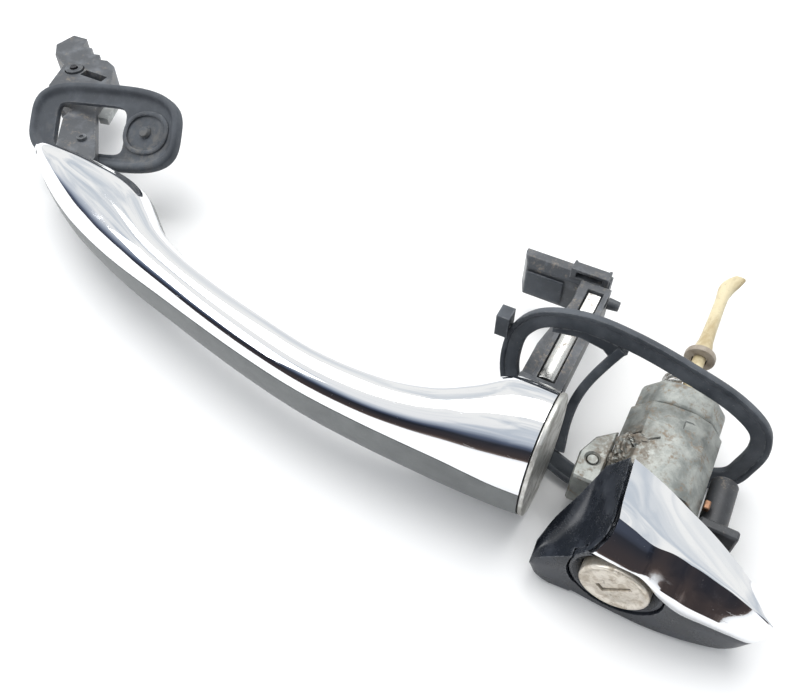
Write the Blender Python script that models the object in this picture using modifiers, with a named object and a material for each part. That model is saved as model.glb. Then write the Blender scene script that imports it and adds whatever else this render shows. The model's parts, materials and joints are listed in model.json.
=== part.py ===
"""Exterior pull handle of a car door with its lock unit, as removed from the door.

X runs along the handle from the hinge end to the lock end, Y points into the car, Z is up.
The set lies on its underside on the plane Z = 0. Lengths are in metres.
"""

import math

import bmesh
import bpy
from mathutils import Matrix, Vector

MM = 0.001
SHIFT_X = 108.7        # puts the middle of the bounding box over the origin, in mm
SHIFT_Y = -16.55
GAP = 0.3              # clearance between neighbouring pieces, in mm

# grip: one row per station: X, outermost Y, innermost Y, lowest Z, highest Z, lower seam angle
GRIP_STATIONS = (
    (-6.4, -42.0, -10.0, 0.2, 45.0, 3),
    (-14.0, -43.0, -9.6, 0.8, 44.6, 5),
    (-21.0, -43.6, -10.4, 1.8, 43.6, 8),
    (-29.0, -44.0, -16.5, 4.0, 41.4, 12),
    (-40.0, -44.4, -22.6, 7.0, 38.4, 17),
    (-56.0, -44.4, -26.0, 9.2, 36.0, 22),
    (-78.0, -43.0, -26.0, 10.0, 35.0, 24),
    (-100.0, -39.6, -22.2, 10.0, 35.0, 24),
    (-121.0, -35.2, -17.8, 9.8, 35.2, 23),
    (-140.0, -30.6, -12.6, 9.0, 35.8, 20),
    (-154.0, -27.2, -6.6, 7.8, 36.6, 17),
    (-164.0, -24.4, 0.6, 6.8, 37.2, 14),
    (-173.0, -21.6, 7.4, 6.0, 37.6, 12),
    (-183.0, -18.0, 11.4, 5.6, 37.6, 10),
    (-196.0, -12.8, 13.6, 5.6, 36.8, 9),
    (-209.0, -6.4, 15.0, 6.6, 35.2, 8),
    (-221.0, 0.4, 16.0, 8.8, 32.6, 8),
    (-231.0, 7.0, 16.8, 12.0, 29.4, 8),
    (-237.5, 12.0, 17.4, 16.0, 25.6, 8),
)
SHELL = 2.2            # wall of the chrome and lower shells
INNER_SEAM = 152       # angle at which the chrome ends on the door side, degrees
ARC_STEPS = 14         # facets across each shell
PLATE = 1.5            # thickness of the metal end plate

# lock unit
LOCK_X = 25.4          # lock axis, parallel to Y
LOCK_Z = 16.0
FACE_Y = -51.4         # outer face of the key plug
FACE_R = 9.6
PLUG_R = 6.6
SLEEVE_R = 7.6
HOUSING_HALF = 13.6
KEY_ANGLE = 45         # turn of the key slot from horizontal, degrees
WAFERS = 3

# cap: one row per station: X, outer Y, lowest Z, seam Z, ridge Z, back Y, back Z
CAP_STATIONS = (
    (18.2, -50.0, 0.6, 26.6, 38.6, -26.0, 39.0),
    (24.0, -50.3, 0.3, 26.4, 37.6, -27.0, 37.0),
    (30.0, -50.4, 0.3, 26.0, 36.2, -28.0, 34.4),
    (36.0, -50.4, 0.3, 20.6, 34.4, -29.4, 31.6),
    (42.0, -50.2, 1.0, 16.8, 32.2, -30.8, 29.0),
    (49.0, -49.6, 2.2, 15.8, 29.6, -33.4, 26.2),
    (56.0, -48.6, 4.0, 14.4, 26.8, -37.0, 23.6),
    (61.5, -47.2, 6.2, 12.2, 23.8, -40.4, 21.0),
    (65.2, -45.8, 8.4, 11.2, 20.6, -42.6, 18.6),
    (66.0, -44.8, 9.6, 11.6, 18.4, -43.2, 17.2),
)
CAP_WALL = 1.6

# left end of the black base: X, outer Y, lowest Z, front rim Z, back Y, back Z, depth of the hollow
BASE_LEFT = (
    (2.4, -50.2, 6.4, 8.4, -46.6, 14.2, 0.4),
    (4.6, -50.9, 3.0, 12.0, -40.4, 18.8, 1.4),
    (8.4, -50.9, 0.8, 16.2, -33.4, 22.2, 2.6),
    (12.4, -50.5, 0.3, 19.6, -28.4, 27.8, 3.6),
    (15.0, -50.3, 0.3, 22.2, -26.8, 32.0, 3.8),
)

# hooking arms
HOOK_LEFT = -22.2
HOOK_RIGHT = -8.4
HOOK_RAIL = -14.2      # middle of the bright inlay
HOOK_LOW = 12.0
HOOK_TOP = 25.6
HOOK_END = 44.0
# removed on the left of the arm, so that it clears the gasket as it swings
HOOK_TAPER = ((-30.0, 11.0), (-22.2, 12.0), (-19.0, 34.0), (-19.0, 46.0), (-30.0, 46.0))
PIVOT = (-261.0, 62.0, 21.0)   # vertical hinge axis through the boss of the hinge arm


def clear_scene():
    for obj in list(bpy.data.objects):
        bpy.data.objects.remove(obj, do_unlink=True)


def make_collection(name):
    coll = bpy.data.collections.new(name)
    bpy.context.scene.collection.children.link(coll)
    return coll


clear_scene()
PARTS = make_collection("car_door_handle")
CUTTERS = make_collection("cutters")
CUTTERS.hide_render = True


def material(name, colour, metallic=0.0, roughness=0.5, coat=0.0):
    mat = bpy.data.materials.new(name)
    mat.use_nodes = True
    shader = mat.node_tree.nodes["Principled BSDF"]
    shader.inputs["Base Color"].default_value = (*colour, 1.0)
    shader.inputs["Metallic"].default_value = metallic
    shader.inputs["Roughness"].default_value = roughness
    shader.inputs["Coat Weight"].default_value = coat
    mat.diffuse_color = (*colour, 1.0)
    return mat


def world(point):
    return Vector(((point[0] + SHIFT_X) * MM, (point[1] + SHIFT_Y) * MM, point[2] * MM))


def add_object(name, bm, mat, origin=(0, 0, 0), coll=None, flat=True):
    """Turns a bmesh in millimetres into an object whose origin is at the given point."""
    centre = Vector(origin)
    for vert in bm.verts:
        vert.co = (vert.co - centre) * MM
    bmesh.ops.recalc_face_normals(bm, faces=bm.faces)
    mesh = bpy.data.meshes.new(name)
    bm.to_mesh(mesh)
    bm.free()
    if not flat:
        mesh.shade_smooth()
        mesh.set_sharp_from_angle(angle=math.radians(38))
    obj = bpy.data.objects.new(name, mesh)
    obj.location = world(origin)
    if mat is not None:
        mesh.materials.append(mat)
    (coll or PARTS).objects.link(obj)
    return obj


def cutter(name, bm, origin=(0, 0, 0)):
    obj = add_object(name, bm, None, origin, CUTTERS)
    obj.hide_render = True
    obj.display_type = "WIRE"
    return obj


def cut(obj, tool, operation="DIFFERENCE"):
    mod = obj.modifiers.new(operation.title(), "BOOLEAN")
    mod.operation = operation
    mod.solver = "EXACT"
    mod.object = tool
    return obj


def bevel(obj, width, segments=1, angle=32):
    mod = obj.modifiers.new("Bevel", "BEVEL")
    mod.width = width * MM
    mod.segments = segments
    mod.limit_method = "ANGLE"
    mod.angle_limit = math.radians(angle)
    mod.use_clamp_overlap = True
    return obj


def box_mesh(low, high, bm=None):
    bm = bm or bmesh.new()
    made = bmesh.ops.create_cube(bm, size=1.0)["verts"]
    size = [b - a for a, b in zip(low, high)]
    middle = [(a + b) / 2 for a, b in zip(low, high)]
    bmesh.ops.scale(bm, vec=size, verts=made)
    bmesh.ops.translate(bm, vec=middle, verts=made)
    return bm


def rod_mesh(radius, start, end, steps=24, radius_end=None):
    """Cylinder or cone between two points."""
    bm = bmesh.new()
    a = Vector(start)
    b = Vector(end)
    tall = (b - a).length
    bmesh.ops.create_cone(
        bm,
        cap_ends=True,
        segments=steps,
        radius1=radius,
        radius2=radius if radius_end is None else radius_end,
        depth=tall,
    )
    turn = (b - a).to_track_quat("Z", "Y").to_matrix().to_4x4()
    bmesh.ops.transform(bm, matrix=Matrix.Translation((a + b) / 2) @ turn, verts=bm.verts)
    return bm


def ring_mesh(outer, inner, y0, y1, x=LOCK_X, z=LOCK_Z, steps=32):
    """Tube along Y."""
    rings = []
    for radius, y in ((outer, y0), (outer, y1), (inner, y1), (inner, y0)):
        turn = [2 * math.pi * k / steps for k in range(steps)]
        rings.append([(x + radius * math.cos(t), y, z + radius * math.sin(t)) for t in turn])
    return loft_mesh(rings, closed_along=True)


def loft_mesh(rings, closed_along=False):
    """Skin over rings of equal length; the ends are capped unless the loft closes on itself."""
    bm = bmesh.new()
    rows = [[bm.verts.new(p) for p in ring] for ring in rings]
    count = len(rows[0])
    pairs = list(zip(rows, rows[1:]))
    if closed_along:
        pairs.append((rows[-1], rows[0]))
    for a, b in pairs:
        for k in range(count):
            n = (k + 1) % count
            bm.faces.new((a[k], a[n], b[n], b[k]))
    if not closed_along:
        bm.faces.new(rows[0])
        bm.faces.new(rows[-1])
    return bm


def prism_mesh(outline, low, high, axis=2):
    """Outline of 2D points extruded along one axis, between two heights."""
    def place(p, h):
        point = [p[0], p[1]]
        point.insert(axis, h)
        return tuple(point)
    rings = [[place(p, low) for p in outline], [place(p, high) for p in outline]]
    return loft_mesh(rings)


# ---------------------------------------------------------------- grip

def grip_point(station, angle, inset):
    """Point of the grip's section; 0 faces outward, 90 up, 180 towards the door."""
    x, outer, inner, low, high, _ = station
    a = (inner - outer) / 2 - inset
    b = (high - low) / 2 - inset
    t = math.radians(angle)
    c = math.cos(t)
    s = math.sin(t)
    power = 0.82 if c < 0 else 0.94
    y = (inner + outer) / 2 - a * math.copysign(abs(c) ** power, c)
    z = (high + low) / 2 + b * math.copysign(abs(s) ** 0.94, s)
    return (x, y, z)


def shell_ring(station, start, stop):
    """Closed strip section between two angles, one wall thick."""
    size = (station[4] - station[3]) / 2
    trim = math.degrees(GAP / 2 / size)
    start = start + trim
    stop = stop - trim
    wall = min(SHELL, size * 0.4)
    angles = [start + (stop - start) * k / ARC_STEPS for k in range(ARC_STEPS + 1)]
    outer = [grip_point(station, t, 0.0) for t in angles]
    inner = [grip_point(station, t, wall) for t in reversed(angles)]
    return outer + inner


def foot_pockets():
    """Sockets in the two feet that take the roots of the arms."""
    rear = cutter("rear_socket", box_mesh((HOOK_LEFT - 0.6, -19.0, HOOK_LOW - 0.6),
                                          (HOOK_RIGHT + 0.6, 4.0, HOOK_TOP + 0.6)))
    front = cutter("front_socket", box_mesh((-233.4, 8.6, 19.4), (-206.4, 34.0, 27.4)))
    return rear, front


def build_grip(rear, front):
    chrome = material("chrome", (0.80, 0.82, 0.84), 1.0, 0.06)
    grey = material("grip_grey", (0.33, 0.35, 0.35), 0.2, 0.42)
    frame = material("glass_filled_black", (0.045, 0.047, 0.05), 0.0, 0.6)
    plate = material("end_plate_metal", (0.62, 0.62, 0.60), 0.9, 0.45)

    rings = [shell_ring(s, s[5], INNER_SEAM) for s in GRIP_STATIONS]
    top = add_object("grip_chrome_shell", loft_mesh(rings), chrome, PIVOT, flat=False)
    rings = [shell_ring(s, INNER_SEAM, 360 + s[5]) for s in GRIP_STATIONS]
    low = add_object("grip_lower_shell", loft_mesh(rings), grey, PIVOT, flat=False)
    body = [[grip_point(s, t, SHELL + GAP) for t in range(0, 360, 20)] for s in GRIP_STATIONS[:-2]]
    core = add_object("grip_core", loft_mesh(body), frame, PIVOT, flat=False)
    for obj in (low, core):
        cut(obj, rear)
    for obj in (top, low, core):
        cut(obj, front)
    first = GRIP_STATIONS[0]
    face = []
    for x in (first[0] + GAP, first[0] + GAP + PLATE):
        station = (x, *first[1:])
        face.append([grip_point(station, t, 0.15) for t in range(0, 360, 12)])
    end = add_object("grip_end_plate", loft_mesh(face), plate, PIVOT, flat=False)
    bevel(end, 0.4)
    return frame


def build_hinge_arm(frame):
    steel = material("arm_steel", (0.60, 0.60, 0.58), 1.0, 0.32)
    dark = material("arm_black", (0.07, 0.075, 0.08), 0.0, 0.55)
    outline = (
        (-208.0, 10.0), (-210.0, 18.0), (-232.0, 43.0), (-237.0, 52.0), (-238.5, 60.0),
        (-247.0, 72.0), (-253.0, 74.4), (-256.4, 73.4), (-259.4, 76.6), (-263.4, 75.6),
        (-266.4, 79.4), (-270.4, 78.6), (-274.0, 84.4), (-281.6, 84.0), (-283.0, 74.0),
        (-277.0, 67.0), (-268.0, 63.0), (-262.0, 47.0), (-244.0, 38.0), (-228.0, 15.0), (-228.0, 10.0),
    )
    neck = outline[:5] + outline[17:]
    arm = add_object("hinge_arm", prism_mesh(neck, 21.7, 26.5), dark, PIVOT)
    head = (*outline[3:18], (-254.0, 42.2))
    cut(arm, cutter("arm_head", prism_mesh(head, 15.0, 26.8)), "UNION")
    boss_at = PIVOT[:2]
    hole = cutter("boss_hole", rod_mesh(4.2, (*boss_at, 10), (*boss_at, 30), 24), PIVOT)
    slot = cutter("arm_slot", box_mesh((-256.0, 60.0, 21.0), (-244.0, 64.0, 30.0)))
    recess = cutter("arm_recess", box_mesh((-252.5, 32.0, 20.0), (-240.5, 38.6, 30.0)))
    for tool in (hole, slot, recess):
        cut(arm, tool)
    bevel(arm, 0.6)
    bush = tube_up(4.2 - GAP, 1.7, boss_at, 14.2, 27.6)
    add_object("hinge_arm_bush", bush, dark, PIVOT, flat=False)
    pin = rod_mesh(1.7 - GAP, (*boss_at, 13.6), (*boss_at, 28.4), 16)
    add_object("hinge_arm_pin", pin, steel, PIVOT, flat=False)
    rib = prism_mesh(((-230.6, 41.4), (-236.4, 56.0), (-232.4, 58.0), (-226.0, 42.4)), 21.0, 24.0)
    rib_obj = add_object("hinge_arm_wedge", rib, material("wedge_pale", (0.55, 0.56, 0.55), 0.0, 0.5), PIVOT)
    cut(rib_obj, cutter("wedge_trim", grown_prism(outline, 0.3, 14.0, 28.0)))
    head = (-222.6, 24.6)
    screw_obj = add_object("hinge_arm_screw", rod_mesh(1.9, (*head, 26.7), (*head, 27.8), 20), steel, PIVOT)
    cut(screw_obj, cutter("hinge_screw_drive", rod_mesh(0.9, (*head, 27.2), (*head, 29.0), 6)))
    return steel, dark


def grown_prism(outline, by, low, high):
    """Prism of an outline pushed outward by a clearance."""
    count = len(outline)
    area = sum(outline[k][0] * outline[(k + 1) % count][1] - outline[(k + 1) % count][0] * outline[k][1]
               for k in range(count))
    side = 1 if area > 0 else -1
    grown = []
    for k in range(count):
        before = Vector(outline[k - 1])
        here = Vector(outline[k])
        after = Vector(outline[(k + 1) % count])
        one = (here - before).normalized()
        two = (after - here).normalized()
        normal = (Vector((one.y, -one.x)) + Vector((two.y, -two.x))).normalized() * side
        grown.append(tuple(here + normal * by * 1.15))
    return prism_mesh(grown, low, high)


def tube_up(outer, inner, at, z0, z1, steps=24):
    """Tube along Z."""
    rings = []
    for radius, z in ((outer, z0), (outer, z1), (inner, z1), (inner, z0)):
        turn = [2 * math.pi * k / steps for k in range(steps)]
        rings.append([(at[0] + radius * math.cos(t), at[1] + radius * math.sin(t), z) for t in turn])
    return loft_mesh(rings, closed_along=True)


def rail_mesh(middle, half, low, high, y0, y1):
    """Bar along Y with a rounded top."""
    outline = [(middle - half, low), (middle - half, high - 1.2)]
    for k in range(1, 10):
        t = math.pi * (1 - k / 10)
        outline.append((middle + half * math.cos(t), high - 1.2 + 1.2 * math.sin(t)))
    outline += [(middle + half, high - 1.2), (middle + half, low)]
    return prism_mesh(outline, y0, y1, axis=1)


def build_hook_arm(steel, dark):
    base = box_mesh((HOOK_LEFT, -18.4, HOOK_LOW), (HOOK_RIGHT, HOOK_END, HOOK_TOP))
    arm = add_object("hook_arm", base, dark, PIVOT)
    middle = HOOK_RAIL
    strip = (middle - 2.9, middle + 2.9)
    cuts = (
        box_mesh((strip[0], -2.0, HOOK_TOP - 2.4), (strip[1], 20.0, HOOK_TOP + 4)),
        box_mesh((middle - 1.4, 26.0, HOOK_TOP - 3.0), (middle + 4.0, 41.0, HOOK_TOP + 4)),
        box_mesh((HOOK_RIGHT - 2.4, 2.0, HOOK_LOW - 4), (HOOK_RIGHT + 4, 38.0, HOOK_LOW + 5.0)),
        box_mesh((HOOK_LEFT - 4, 2.0, HOOK_LOW - 4), (HOOK_LEFT + 5.4, 38.0, HOOK_LOW + 5.0)),
        box_mesh((HOOK_LEFT - 4, -2.0, HOOK_TOP - 1.4), (strip[0] - 1.5, 38.0, HOOK_TOP + 4.0)),
        prism_mesh(HOOK_TAPER, 0.0, 40.0),
    )
    for number, tool in enumerate(cuts):
        cut(arm, cutter("hook_cut_%d" % number, tool))
    bevel(arm, 0.5)
    insert = rail_mesh(middle, strip[1] - GAP - middle, HOOK_TOP - 2.0, HOOK_TOP + 0.5, -1.5, 19.6)
    add_object("hook_arm_insert", insert, steel, PIVOT, flat=False)
    window = box_mesh((middle - 1.4 + GAP, 26.5, HOOK_TOP - 2.6), (middle + 4.0 - GAP, 40.6, HOOK_TOP - 1.0))
    bevel(add_object("hook_arm_window", window, steel, PIVOT), 0.25, 1)
    y0 = HOOK_END + GAP
    section = ((y0, 9.4), (y0, 22.6), (y0 + 2.6, 25.4), (y0 + 6.2, 25.4), (y0 + 6.2, 11.6), (y0 + 4.4, 9.4))
    head = add_object("hook_head", prism_mesh(section, -41.0, -9.8, axis=0), dark, PIVOT)
    block = box_mesh((-23.6, y0 + 0.8, 22.0), (-10.4, y0 + 5.6, 28.0))
    cut(head, cutter("head_block", block), "UNION")
    groove = cutter("head_groove", box_mesh((-22.6, y0 + 5.0, 23.4), (-11.4, y0 + 9.0, 34.0)))
    cut(head, groove)
    chamfer = ((-45.0, y0 - 4.0), (-45.0, y0 + 9.0), (-36.6, y0 + 9.0), (-40.4, y0 - 1.0), (-40.4, y0 - 4.0))
    cut(head, cutter("head_chamfer", prism_mesh(chamfer, 5.0, 40.0)))
    bevel(head, 0.5)
    pad = box_mesh((-38.6, y0 - 1.0, 11.0), (-24.6, y0 - GAP, 21.4))
    bevel(add_object("hook_head_pad", pad, material("head_pad", (0.09, 0.09, 0.1), 0, 0.7), PIVOT), 0.5)
    peg = rod_mesh(2.1, (HOOK_RIGHT + GAP, 40.6, 22.6), (HOOK_RIGHT + 4.2, 40.6, 22.6), 20, 1.7)
    add_object("hook_side_peg", peg, dark, PIVOT, flat=False)
    at = (middle, 22.8)
    screw_obj = add_object("hook_arm_screw", rod_mesh(2.3, (*at, 25.9), (*at, 27.3), 20), steel, PIVOT)
    cut(screw_obj, cutter("hook_screw_drive", rod_mesh(1.2, (*at, 26.6), (*at, 29.0), 6)))


# ---------------------------------------------------------------- gaskets

GASKET_AT = (-218.8, 34.0, 27.2)
GASKET_NORMAL = (-0.05, -0.6, 0.8)
GASKET_TURN = 14
GASKET_HALF = (37.2, 17.4)


def gasket_frame():
    up = Vector(GASKET_NORMAL).normalized()
    along = Vector((0, 0, 1)).cross(up).normalized() * -1
    if along.x < 0:
        along = along * -1
    across = up.cross(along)
    turn = math.radians(GASKET_TURN)
    u = along * math.cos(turn) + across * math.sin(turn)
    v = across * math.cos(turn) - along * math.sin(turn)
    return u, v, up


def oval(half, steps, power=0.62, shift=(0, 0), skew=0.0):
    """Rounded oblong as (u, v) pairs."""
    found = []
    for k in range(steps):
        t = 2 * math.pi * k / steps
        c = math.cos(t)
        s = math.sin(t)
        u = half[0] * math.copysign(abs(c) ** power, c)
        v = half[1] * math.copysign(abs(s) ** power, s)
        found.append((u + shift[0] + skew * v, v + shift[1]))
    return found


def build_front_gasket():
    rubber = material("rubber_slate", (0.06, 0.07, 0.085), 0.0, 0.8)
    u, v, up = gasket_frame()
    centre = Vector(GASKET_AT)

    def place(pairs, height):
        return [tuple(centre + u * a + v * b + up * height) for a, b in pairs]

    # open dish: floor with a window, and a raised rim around the edge
    big = GASKET_HALF
    rings = [
        place(oval(big, 40, skew=-0.12), -1.0),
        place(oval(big, 40, skew=-0.12), 2.6),
        place(oval((big[0] - 2.2, big[1] - 2.2), 40, skew=-0.12), 3.2),
        place(oval((big[0] - 4.0, big[1] - 4.0), 40, skew=-0.12), 1.4),
        place(oval((17.6, 9.9), 40, 0.3, (-6.6, -1.2), -0.12), 1.0),
        place(oval((17.6, 9.9), 40, 0.3, (-6.6, -1.2), -0.12), -1.0),
    ]
    gasket = add_object("front_gasket", loft_mesh(rings, closed_along=True), rubber, PIVOT, flat=False)
    ring = [
        place(oval((10.6, 8.8), 24, 0.9, (21.6, -0.8)), 1.6),
        place(oval((10.6, 8.8), 24, 0.9, (21.6, -0.8)), 2.1),
        place(oval((8.8, 7.0), 24, 0.9, (21.6, -0.8)), 2.1),
        place(oval((8.8, 7.0), 24, 0.9, (21.6, -0.8)), 1.6),
    ]
    add_object("front_gasket_bead", loft_mesh(ring, closed_along=True), rubber, PIVOT, flat=False)
    hub = centre + u * 21.4 + v * -0.6
    stud = rod_mesh(2.6, tuple(hub + up * 1.6), tuple(hub + up * 2.9), 16, 1.9)
    add_object("front_gasket_stud", stud, rubber, PIVOT, flat=False)
    return rubber


# centre line of the rear gasket, and half widths of the band
REAR_LOOP = (
    (-8.0, 9.0, 44.0), (8.0, 9.4, 42.4), (26.0, 8.4, 38.8), (38.0, 7.4, 35.4), (46.4, 6.8, 29.6),
    (49.0, 6.4, 22.0), (48.0, 6.0, 13.0), (45.4, 5.0, 6.0), (37.0, 1.6, 3.4), (22.0, -8.6, 3.4),
    (8.0, -15.2, 3.4), (-2.6, -13.6, 3.5), (-13.0, -8.8, 4.2), (-21.6, -1.0, 7.2), (-27.6, 5.4, 14.0),
    (-29.0, 8.6, 22.0), (-27.2, 9.6, 31.0), (-20.6, 9.4, 39.4),
)


def smooth_loop(points, per):
    """Closed Catmull-Rom curve through the points."""
    found = []
    count = len(points)
    for k in range(count):
        p = [Vector(points[(k + j) % count]) for j in (-1, 0, 1, 2)]
        for n in range(per):
            t = n / per
            found.append(0.5 * (2 * p[1] + (p[2] - p[0]) * t
                                + (2 * p[0] - 5 * p[1] + 4 * p[2] - p[3]) * t * t
                                + (3 * p[1] - p[0] - 3 * p[2] + p[3]) * t ** 3))
    return found


def band_rings(path, half_wide, half_thick, centre, closed=True):
    """Section rings of a flat band whose wide side points at the middle of the loop."""
    rings = []
    count = len(path)
    for k, here in enumerate(path):
        before = path[k - 1] if closed or k else here
        after = path[(k + 1) % count] if closed or k + 1 < count else here
        along = (after - before).normalized()
        away = (here - centre)
        away = (away - along * away.dot(along)).normalized()
        side = along.cross(away).normalized()
        w = half_wide
        h = half_thick
        ring = []
        for a, b in ((w, h * 1.4), (w - 1.4, h * 1.4), (w - 1.7, h), (-w, h), (-w, -h), (w, -h)):
            ring.append(tuple(here + away * a + side * b))
        rings.append(ring)
    return rings


def build_rear_gasket(rubber):
    path = smooth_loop(REAR_LOOP, 3)
    centre = Vector((10.0, 2.0, 20.0))
    loop = add_object("rear_gasket", loft_mesh(band_rings(path, 3.0, 1.3, centre), closed_along=True), rubber)
    strap_path = [Vector(p) for p in ((4.0, 8.6, 39.0), (1.2, 7.4, 33.0), (-2.4, 4.4, 25.0),
                                      (-4.4, 1.0, 18.0), (-4.6, -4.0, 12.0), (-3.2, -11.0, 6.0))]
    side = Vector((40.0, 0.0, 24.0))
    strap = add_object("rear_gasket_strap", loft_mesh(band_rings(strap_path, 1.5, 1.1, side, False)), rubber)
    trim = cutter("strap_trim", loft_mesh(band_rings(path, 3.5, 1.7, centre), closed_along=True))
    cut(strap, trim)
    lug = box_mesh((-35.2, 6.6, 27.0), (-30.9, 12.0, 35.6))
    lug_obj = add_object("rear_gasket_lug", lug, rubber)
    lug_obj.modifiers.new("Trim", "BOOLEAN").object = trim
    lug_obj.modifiers["Trim"].operation = "DIFFERENCE"
    lug_obj.modifiers["Trim"].solver = "EXACT"
    bevel(lug_obj, 0.6)
    return loop


# ---------------------------------------------------------------- lock unit

CAP_LEAN = (-1.4, -1.0, -0.4, 1.6, 1.9, 1.2, 0.6, 0.0)   # how the left edge leans, per point of the section


def cap_section(station, inset=0.0):
    """Outline of the cap in Y and Z from the seam over the ridge to the back edge."""
    x, outer, low, seam, ridge, back, back_z = station
    top = ridge - 1.7
    rise = top - seam
    lean = max(0.0, min(1.0, (27.0 - x) / 8.8))
    deep = back - outer
    inset = min(inset, deep * 0.42)
    lip = lip_height(x, rise)
    face = min((rise - lip) * 0.75, deep * 0.36)
    points = [
        (outer + inset, seam),
        (outer - 0.3 + inset, seam + lip * 0.5),
        (outer + inset, seam + lip),
        (outer + face * 0.48 + inset * 0.9, seam + lip + (rise - lip) * 0.52 - inset * 0.3),
        (outer + face + inset * 0.6, top - inset),
        (outer + (back - outer) * 0.44, top + (back_z - top) * 0.34 + 0.6 - inset),
        (outer + (back - outer) * 0.72, top + (back_z - top) * 0.68 + 0.5 - inset),
        (back, back_z - inset),
    ]
    return [(tip_x(x + lean * CAP_LEAN[k], z, low, ridge), y, z) for k, (y, z) in enumerate(points)]


def lip_height(x, rise):
    """Height of the upright lip above the seam: thin over the key, taller beyond it."""
    return rise * (0.14 + 0.24 * max(0.0, min(1.0, (x - 28.0) / 12.0)))


def tip_x(x, z, low, ridge):
    """Draws the lower part of the pointed end back, so the end is slanted and rounded."""
    reach = max(0.0, (x - 54.0) / 13.3) ** 1.5
    drop = max(0.0, min(1.0, (ridge - z) / (ridge - low)))
    return x - 5.0 * reach * drop


def build_cap():
    chrome = material("cap_chrome", (0.80, 0.82, 0.84), 1.0, 0.06)
    black = material("cap_black", (0.05, 0.055, 0.065), 0.0, 0.4, 0.2)
    rings = []
    for station in CAP_STATIONS:
        outside = cap_section(station)
        inside = cap_section(station, CAP_WALL)
        rings.append(outside + inside[::-1])
    add_object("cap_chrome", loft_mesh(rings), chrome, flat=False)

    body = [base_ring(*row) for row in BASE_LEFT]
    body.append(edge_ring(CAP_STATIONS[0]))
    start = CAP_STATIONS[0]
    body += [fill_ring(s) for s in ((start[0] - 0.35, *start[1:]), *CAP_STATIONS[1:-1])]
    base = add_object("cap_base", loft_mesh(body), black, flat=False)
    pocket = cutter("key_pocket", rod_mesh(13.2, (LOCK_X, -60, LOCK_Z), (LOCK_X, -46.6, LOCK_Z), 40))
    bore = cutter("base_bore", rod_mesh(SLEEVE_R + GAP, (LOCK_X, -62, LOCK_Z), (LOCK_X, -10, LOCK_Z), 40))
    cut(base, pocket)
    cut(base, bore)
    return chrome, black


def base_ring(x, outer, low, front, back, high, sag):
    """Section of the black base left of the cap, with its hollowed top."""
    ring = [
        (x, outer + 1.2, low),
        (x, outer, low + (front - low) * 0.35),
        (x, outer, low + (front - low) * 0.72),
    ]
    for k in range(8):
        t = k / 7
        y = outer + 0.9 + (back - outer - 0.9) * t
        ring.append((x, y, front + (high - front) * t ** 1.3 - sag * math.sin(math.pi * t)))
    ring.append((x, back, low + (high - low) * 0.4))
    ring.append((x, back - 0.6, low + 0.4))
    return ring


def edge_ring(station):
    """Section of the base that follows the left edge of the chrome, one gap away from it."""
    x, outer, low, seam, ridge, back, back_z = station
    front = x + CAP_LEAN[0] - 1.1
    ring = [
        (front, outer + 1.2, low),
        (front, outer, low + (seam - low) * 0.35),
        (front, outer, low + (seam - low) * 0.9),
    ]
    ring += [(a - 1.1, y, z) for a, y, z in cap_section(station, 0.2)]
    ring[3] = (front, outer + 0.2, seam - GAP)
    ring.append((x - 1.1, back, low + (back_z - low) * 0.4))
    ring.append((x - 1.1, back - 0.6, low + 0.4))
    return ring


def fill_ring(station):
    """Section of the black base under the chrome."""
    x, outer, low, seam, ridge, back, back_z = station
    under = CAP_WALL + GAP + max(0.0, x - 58.0) * 0.12
    inner_y = outer + under
    half = (outer + back) / 2
    lean = max(0.0, min(1.0, (27.0 - x) / 8.8))
    shoulder = (min(outer + 7.4, half), ridge - under - 3.2)
    slope = (outer + (back - outer) * 0.6, ridge + (back_z - ridge) * 0.5 - under - 0.2)
    last = (back, back_z - under - 0.2)
    inside = [
        (outer + 0.2, seam - GAP),
        (inner_y, seam - GAP),
        (min(inner_y + 0.4, half), seam + lip_height(x, ridge - 1.7 - seam) + 0.3),
        shoulder,
        ((shoulder[0] + slope[0]) / 2, (shoulder[1] + slope[1]) / 2),
        slope,
        ((slope[0] + last[0]) / 2, (slope[1] + last[1]) / 2),
        last,
    ]
    front = x + lean * CAP_LEAN[0]
    ring = [
        (front, outer + 1.2, low),
        (front, outer, low + (seam - low) * 0.35),
        (front, outer, low + (seam - low) * 0.9),
    ]
    ring += [(x + lean * CAP_LEAN[k], y, z) for k, (y, z) in enumerate(inside)]
    ring += [(x, back, (low + back_z) / 2 - 1.0), (x, back - 0.6, low + 0.4)]
    return [(tip_x(a, z, low, ridge), y, z) for a, y, z in ring]


def build_key_ring():
    ring = ring_mesh(12.9, FACE_R + GAP, -49.6, -47.3, steps=40)
    dark = material("ring_black", (0.03, 0.03, 0.035), 0, 0.35)
    obj = add_object("key_recess_ring", ring, dark, flat=False)
    edge = [(s[0], s[3] - 1.6) for s in CAP_STATIONS]
    edge = [(edge[0][0] - 12, edge[0][1])] + edge + [(edge[-1][0], 60.0), (edge[0][0] - 12, 60.0)]
    cut(obj, cutter("ring_top", prism_mesh(edge, -60.0, -40.0, axis=1)))


def housing_outline(half, low, high):
    """Arched section of the die-cast housing in X and Z."""
    found = [(LOCK_X - half, low), (LOCK_X - half, high - 7.0)]
    for k in range(1, 8):
        t = math.pi * (1 - k / 8)
        found.append((LOCK_X + half * math.cos(t), high - 7.0 + 7.0 * math.sin(t)))
    found += [(LOCK_X + half, high - 7.0), (LOCK_X + half, low)]
    return found


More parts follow.
